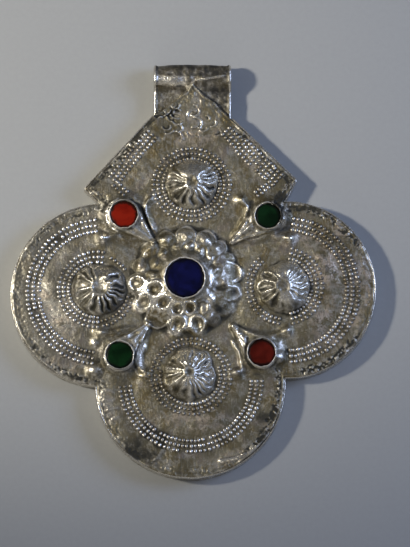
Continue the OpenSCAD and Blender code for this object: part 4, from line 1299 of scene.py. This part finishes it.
def makeCollar(name, s, seed):
    low, side = s["seat"] - collarWork["foot"], math.radians(s["dirtyAndShaded"][0])
    piece = linePiece(name, [(0, 0, 0)])
    grown(piece, collarTree, {
        "Radius": (s["r"] + collarWork["gap"]) * mm, "Wall": s["wall"] * mm,
        "Height": (s["rim"] - low) * mm, "Wave": collarWork["wave"] * mm,
        "Middle": (s["at"][0] * mm, s["at"][1] * mm, (s["rim"] + low) / 2 * mm),
        "Dirty And Shaded Side": (math.cos(side), math.sin(side), 0.0), "Dirt And Shade": s["dirtyAndShaded"][1], "Seed": seed,
        "Silver": silver["collar"]})
    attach(piece, body)
    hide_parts("front_plate")


for n, (name, s) in enumerate(stones.items()):
    makeStone(name, {**cornerStone, **s}, 5 + n)
    makeCollar(name.replace("stone", "collar"), {**cornerStone, **s}, 3 + n)
print("stage: stones and collars")

# The side strip stands round the box; its top edge shows as a thin line beside the front sheet
tree, given = newTree("sideStrip", {
    "Step": "Float", "Thickness": "Float", "Height": "Float", "Wave": "Float", "Silver": "Material"})
path = evenPath(tree, given["Geometry"], given["Step"])
wobble = addNode(tree, "ShaderNodeTexNoise", {
    "Vector": placeOf(tree), "Scale": 420.0, "Detail": 3.0}).outputs["Color"]
path = moved(tree, path, shaken(tree, wobble, given["Wave"]))
path = outOf(tree, "GeometryNodeSetCurveNormal", {"Curve": path}, mode="Z_UP")
edge = roundedProfile(tree, given["Thickness"], given["Height"], 2, 0.35)
endTree(tree, stored(tree, swept(tree, path, edge), "polish", 0.9), given["Silver"])
stripTree = tree

sideStrip = {"inset": 0.2, "thick": 0.36, "low": 0.35, "high": 4.3, "wave": 0.35, "step": 0.6, "gap": 0.3}


def makeSideStrip():
    loop = outerLoop(sideStrip["inset"], False, loopStep)
    # it stops at either side of the bail
    x, y = loop.T
    free = ~((y > bail["legEnd"]) & (np.abs(x - bail["x"]) < bail["width"] / 2 + sideStrip["gap"]))
    first = int(np.argmax(free & ~np.roll(free, 1)))
    loop, free = np.roll(loop, -first, axis=0), np.roll(free, -first)
    middle = (sideStrip["low"] + sideStrip["high"]) / 2
    piece = linePiece("side_strip", [(x, y, middle) for (x, y), ok in zip(loop, free) if ok])
    grown(piece, stripTree, {
        "Step": sideStrip["step"] * mm, "Thickness": sideStrip["thick"] * mm,
        "Height": (sideStrip["high"] - sideStrip["low"]) * mm, "Wave": sideStrip["wave"] * mm,
        "Silver": silver["plain"]})
    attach(piece, body)
    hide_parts("back_plate")
    print("stage: side strip", len(piece.data.vertices), "points")


makeSideStrip()

backSheet = {"thick": 0.6, "step": 1.1, "wave": 0.12, "inset": 0.05, "uneven": 0.04}


def makeBackSheet():
    loop = unevenLoop(outerLoop(backSheet["inset"], False, loopStep), backSheet["uneven"], 71)
    points = hexPoints(backSheet["step"])
    points = points[-fromEdge(*points.T) > 0.8]
    points = points[insideLoop(*points.T, loop - loopNormals(loop) * 0.4)]
    p, tris = filledIn(loop, points)
    x, y, total = *p.T, len(p)
    wave = backSheet["wave"] * (0.5 + 0.5 * softNoise(x, y, 7.0, 72)) * ease(0, 3, -fromEdge(x, y))
    verts = np.vstack([np.column_stack([p, wave + 0.02]), np.column_stack([p, wave + backSheet["thick"]])])
    faces = [[total + v for v in t] for t in tris] + [t[::-1] for t in tris] + bandFaces(len(loop), 0, total)
    stain = np.clip(0.5 * softNoise(x, y, 6.0, 73) + 0.2 * softNoise(x, y, 1.5, 74), 0, 1)
    shine = np.clip(0.4 * softNoise(x, y, 9.0, 75), 0, 1)
    piece = meshPiece("back_sheet", verts * mm, faces, [silver["plain"]], True,
                      {"grime": np.tile(stain, 2), "polish": np.tile(shine, 2)})
    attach(piece, body)
    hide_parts("back_plate")


makeBackSheet()
print("stage: back sheet")

# The bail: one strip folded over into a roll, its long edges turned over into narrow hems
tree, given = newTree("bailStrip", {"Section": "Object", "Step": "Float", "Silver": "Material"})
path = evenPath(tree, given["Geometry"], given["Step"])
path = outOf(tree, "GeometryNodeSetCurveNormal", {"Curve": path, "Normal": (1, 0, 0)}, mode="FREE")
section = addNode(tree, "GeometryNodeObjectInfo", {
    "Object": given["Section"]}, transform_space="ORIGINAL").outputs["Geometry"]
section = outOf(tree, "GeometryNodeMeshToCurve", {"Mesh": section})
endTree(tree, swept(tree, path, section), given["Silver"])
bailTree = tree


def bailPath():
    (ey, ez), r = bail["eye"], bail["eyeR"] + bail["strip"] / 2
    low, high = bail["backLeg"] + bail["strip"] / 2, bail["frontLeg"] + bail["strip"] / 2
    a0 = -math.pi + math.asin((ez - low) / r)
    a1 = bail["leaves"]
    points = [(0, bail["legEnd"], low)]
    points += [(0, ey + r * math.cos(a), ez + r * math.sin(a)) for a in np.linspace(a0, a1, 48)]
    # from the roll the strip runs down in one soft bend to its front leg
    y1, z1 = points[-1][1:]
    fall = bail["bend"] * math.cos(a1) / math.sin(a1)
    for t in np.linspace(0, 1, 14)[1:]:
        flat = 3 * t ** 2 - 2 * t ** 3
        points.append((0, y1 - bail["bend"] * t, z1 + (high - z1) * flat + (t ** 3 - 2 * t ** 2 + t) * fall))
    return points + [(0, bail["legEnd"], high)]


def bailSection():
    w, t, h, hw = bail["width"] / 2, bail["strip"] / 2, bail["hem"], bail["hemWide"]
    xs = np.linspace(-w, w, 97)
    fromSide = w - np.abs(xs)
    fold = h * np.sqrt(np.clip(1 - ((fromSide - hw / 2) / (hw / 2)) ** 2, 0, 1)) * (fromSide < hw)
    outside = [(x, t + f, 0) for x, f in zip(xs, fold)]
    inside = [(x, -t, 0) for x in xs[::-2]]
    return outside + inside


bailWork = {
    "step": 0.3,
    "rollFrom": 45.9,
    "levels": (2.4, 3.0, 3.2, 3.4),     # heights above which its front, upper, high and topmost parts lie
    "fold": (1.4, 47.75, 0.17),         # a point of its sharp fold, and how the fold slopes
    "topEdge": (-9, 48.9, -0.04),       # the same for the edge of the darker band over the top
    "tear": ((-3.5, 46.55), (0.95, 0.3)),
    "creases": [((-2.9, 47.5), (-0.9, 45.7)), ((0.1, 47.7), (-1.8, 45.3)), ((-0.3, 48.5), (-0.2, 48.6))],
}


def slopingLine(x, line):
    at, height, slope = line
    return height + slope * (x - at)


def makeBail():
    section = linePiece("bailSection", bailSection(), True)
    piece = linePiece("bail_strip", bailPath())
    grown(piece, bailTree, {"Section": section, "Step": bailWork["step"] * mm, "Silver": silver["bail"]})
    bpy.data.objects.remove(section)
    co = np.empty(len(piece.data.vertices) * 3)
    piece.data.vertices.foreach_get("co", co)
    p = co.reshape(-1, 3) / mm + (bail["x"], 0, 0)
    x, y, z = p.T
    fromEyeY, fromEyeZ = y - bail["eye"][0], z - bail["eye"][1]
    out = np.hypot(fromEyeY, fromEyeZ)
    onRoll = (out > bail["eyeR"] - 0.1) & (y > bailWork["rollFrom"])
    # the roll is pressed in here and there, most of all on its right half, under one sharp fold
    fold = slopingLine(x, bailWork["fold"])
    front, upper, high, crown = (z > level for level in bailWork["levels"])
    onFold = bell(y - fold, 0.22) * ease(0.3, 1.2, x) * ease(8.4, 7.4, x) * crown
    press = 0.16 * softNoise(x, y * 1.6, 4.0, 91) + 0.08 * softNoise(x, y, 1.4, 92)
    press -= 0.5 * bell(x - 4.6, 3.4) * ease(fold, fold - 0.8, y) * upper
    press += 0.25 * bell(x + 5.2, 3.2) * bell(y - 47.2, 0.9) * crown + 0.28 * onFold
    press += 0.65 * np.clip(1 - ((x + 0.3) / 10.6) ** 2, 0.1, 1) * ease(49.4, 50.8, y)
    direction = np.column_stack([np.zeros_like(x), fromEyeY, fromEyeZ]) / np.maximum(out, 0.1)[:, None]
    p = p + np.where(onRoll, press, 0)[:, None] * direction
    bumps = 0.12 * softNoise(x, y, 3.0, 93) + 0.06 * softNoise(x, y, 1.2, 94)
    p[:, 2] += (y < 46.3) * front * bumps * ease(33, 36, y) * ease(46.3, 45.3, y)
    piece.data.vertices.foreach_set("co", (p * mm).ravel())
    # darker over the top and low in front, with painted shade below the fold; painted highlights along the
    # fold, in a band on the left of the roll and along creases beside a small dark tear; the hems are
    # bright, wear and painted highlight
    topEdge = slopingLine(x, bailWork["topEdge"])
    dark = 0.95 * ease(topEdge - 0.1, topEdge + 0.3, y) * high
    dark += 0.5 * ease(fold - 0.2, fold - 0.7, y) * ease(0.3, 1.5, x) * ease(40, 42, y) * front
    dark += 0.35 * ease(46.4, 45.6, y) * front
    dark = dark * (0.75 + 0.55 * softNoise(x, y, 1.6, 95) + 0.5 * softNoise(x, y, 0.6, 96))
    (tearX, tearY), (tearWide, tearTall) = bailWork["tear"]
    dark += 1.1 * bell(np.hypot((x - tearX) / tearWide, (y - tearY) / tearTall), 1, 4) * front
    bright = 0.8 * ease(46.4, 46.9, y) * ease(48.9, 48.4, y) * ease(-1.2, -2.4, x) * high + 1.1 * onFold
    for a, b in bailWork["creases"]:
        bright += 1.2 * bell(fromLine(x, y, a, b)[1], 0.26) * upper
    onSides = np.abs(np.abs(x - bail["x"]) - bail["width"] / 2) < 0.55
    bright += 1.1 * onSides
    dark = dark * (1 - np.clip(bright, 0, 1) * 0.8)
    for key, numbers in (("grime", dark), ("polish", bright)):
        layer = piece.data.attributes.new(key, "FLOAT", "POINT")
        layer.data.foreach_set("value", np.clip(numbers, 0, 1.2).astype(np.float32))
    print("stage: bail strip", p.min(axis=0).round(2), p.max(axis=0).round(2), len(p), "points")
    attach(piece, body)
    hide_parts("bail")


makeBail()

# Floor, lights and camera
stageSet = {"floor": (0.335, 0.338, 0.325), "size": 3.0, "below": 0.00005}


def makeFloor():
    half, z = stageSet["size"] / 2, -stageSet["below"]
    corners = [(-half, -half, z), (half, -half, z), (half, half, z), (-half, half, z)]
    floor = meshPiece("floor", corners, [[0, 1, 2, 3]], smooth=False)
    material, tree, shader, place = newFinish("palePaper")
    tone = spread(tree, noiseOf(tree, place, 900, 4, 0.6), 0.3, 0.7)
    r, g, b = stageSet["floor"]
    colour = mixOf(tree, tone, (r * 0.98, g * 0.98, b * 0.98), (r * 1.02, g * 1.02, b * 1.02))
    wire(tree, shader, {"Base Color": colour})
    shader.inputs["Roughness"].default_value = 0.9
    shader.inputs["Specular IOR Level"].default_value = 0.2
    floor.data.materials.append(material)


makeFloor()

# A light without a target looks at the middle of the piece
lights = {
    "windowLight": {"kind": "AREA", "at": (0.46, 0.12, 0.30), "energy": 1.85, "color": (0.46, 0.60, 1.0),
                    "shape": "RECTANGLE", "size": 0.26, "size_y": 0.26},
    "frontLight": {"kind": "AREA", "at": (-0.1, -0.8, 0.35), "energy": 0.8, "color": (1.0, 0.95, 0.88),
                   "shape": "RECTANGLE", "size": 0.9, "size_y": 0.3},
    "keyLamp": {"kind": "SPOT", "at": (-0.4905, 0.0802, 0.4464), "target": (-0.0587, 0.0547, 0),
                "energy": 17.9, "color": (1.0, 0.95, 0.86), "shadow_soft_size": 0.035,
                "spot_size": math.radians(27.1), "spot_blend": 1.0},
}


def addLight(name, kind, at, target=(0, 0, 0.004), **settings):
    data = bpy.data.lights.new(name, kind)
    for key, value in settings.items():
        setattr(data, key, value)
    light = bpy.data.objects.new(name, data)
    light.location = at
    light.rotation_euler = (Vector(target) - Vector(at)).to_track_quat("-Z", "Y").to_euler()
    bpy.context.scene.collection.objects.link(light)


for name, light in lights.items():
    addLight(name, **light)

world = bpy.data.worlds.new("studio")
bpy.context.scene.world = world
world.use_nodes = True
room = {"overhead": (0.182, 0.184, 0.2), "walls": (0.04, 0.043, 0.05), "from": 0.25, "to": 0.75}
roomTree = world.node_tree
facing = addNode(roomTree, "ShaderNodeTexCoord").outputs["Generated"]
up = addNode(roomTree, "ShaderNodeSeparateXYZ", {0: facing}).outputs[2]
sky = mixOf(roomTree, spread(roomTree, up, room["from"], room["to"]), room["walls"], room["overhead"])
roomTree.links.new(sky, roomTree.nodes["Background"].inputs["Color"])

picture = {
    "high": 547, "mmPerPixel": 0.2475, "tilt": 8.6, "away": 2400.0, "aim": (2.92, -0.63, 4.5), "sensor": 24,
}


def makeCamera():
    data = bpy.data.cameras.new("camera")
    data.sensor_fit = "VERTICAL"
    data.sensor_height = picture["sensor"]
    data.lens = picture["sensor"] * picture["away"] / (picture["high"] * picture["mmPerPixel"])
    data.clip_start, data.clip_end = 0.01, 20
    camera = bpy.data.objects.new("camera", data)
    tilt = math.radians(picture["tilt"])
    aim = Vector(picture["aim"])
    camera.location = (aim + Vector((0, -math.sin(tilt), math.cos(tilt))) * picture["away"]) * mm
    camera.rotation_euler = (tilt, 0, 0)
    bpy.context.scene.collection.objects.link(camera)
    bpy.context.scene.camera = camera


makeCamera()
bpy.context.scene.view_settings.view_transform = "Standard"
print("stage: floor, lights and camera")
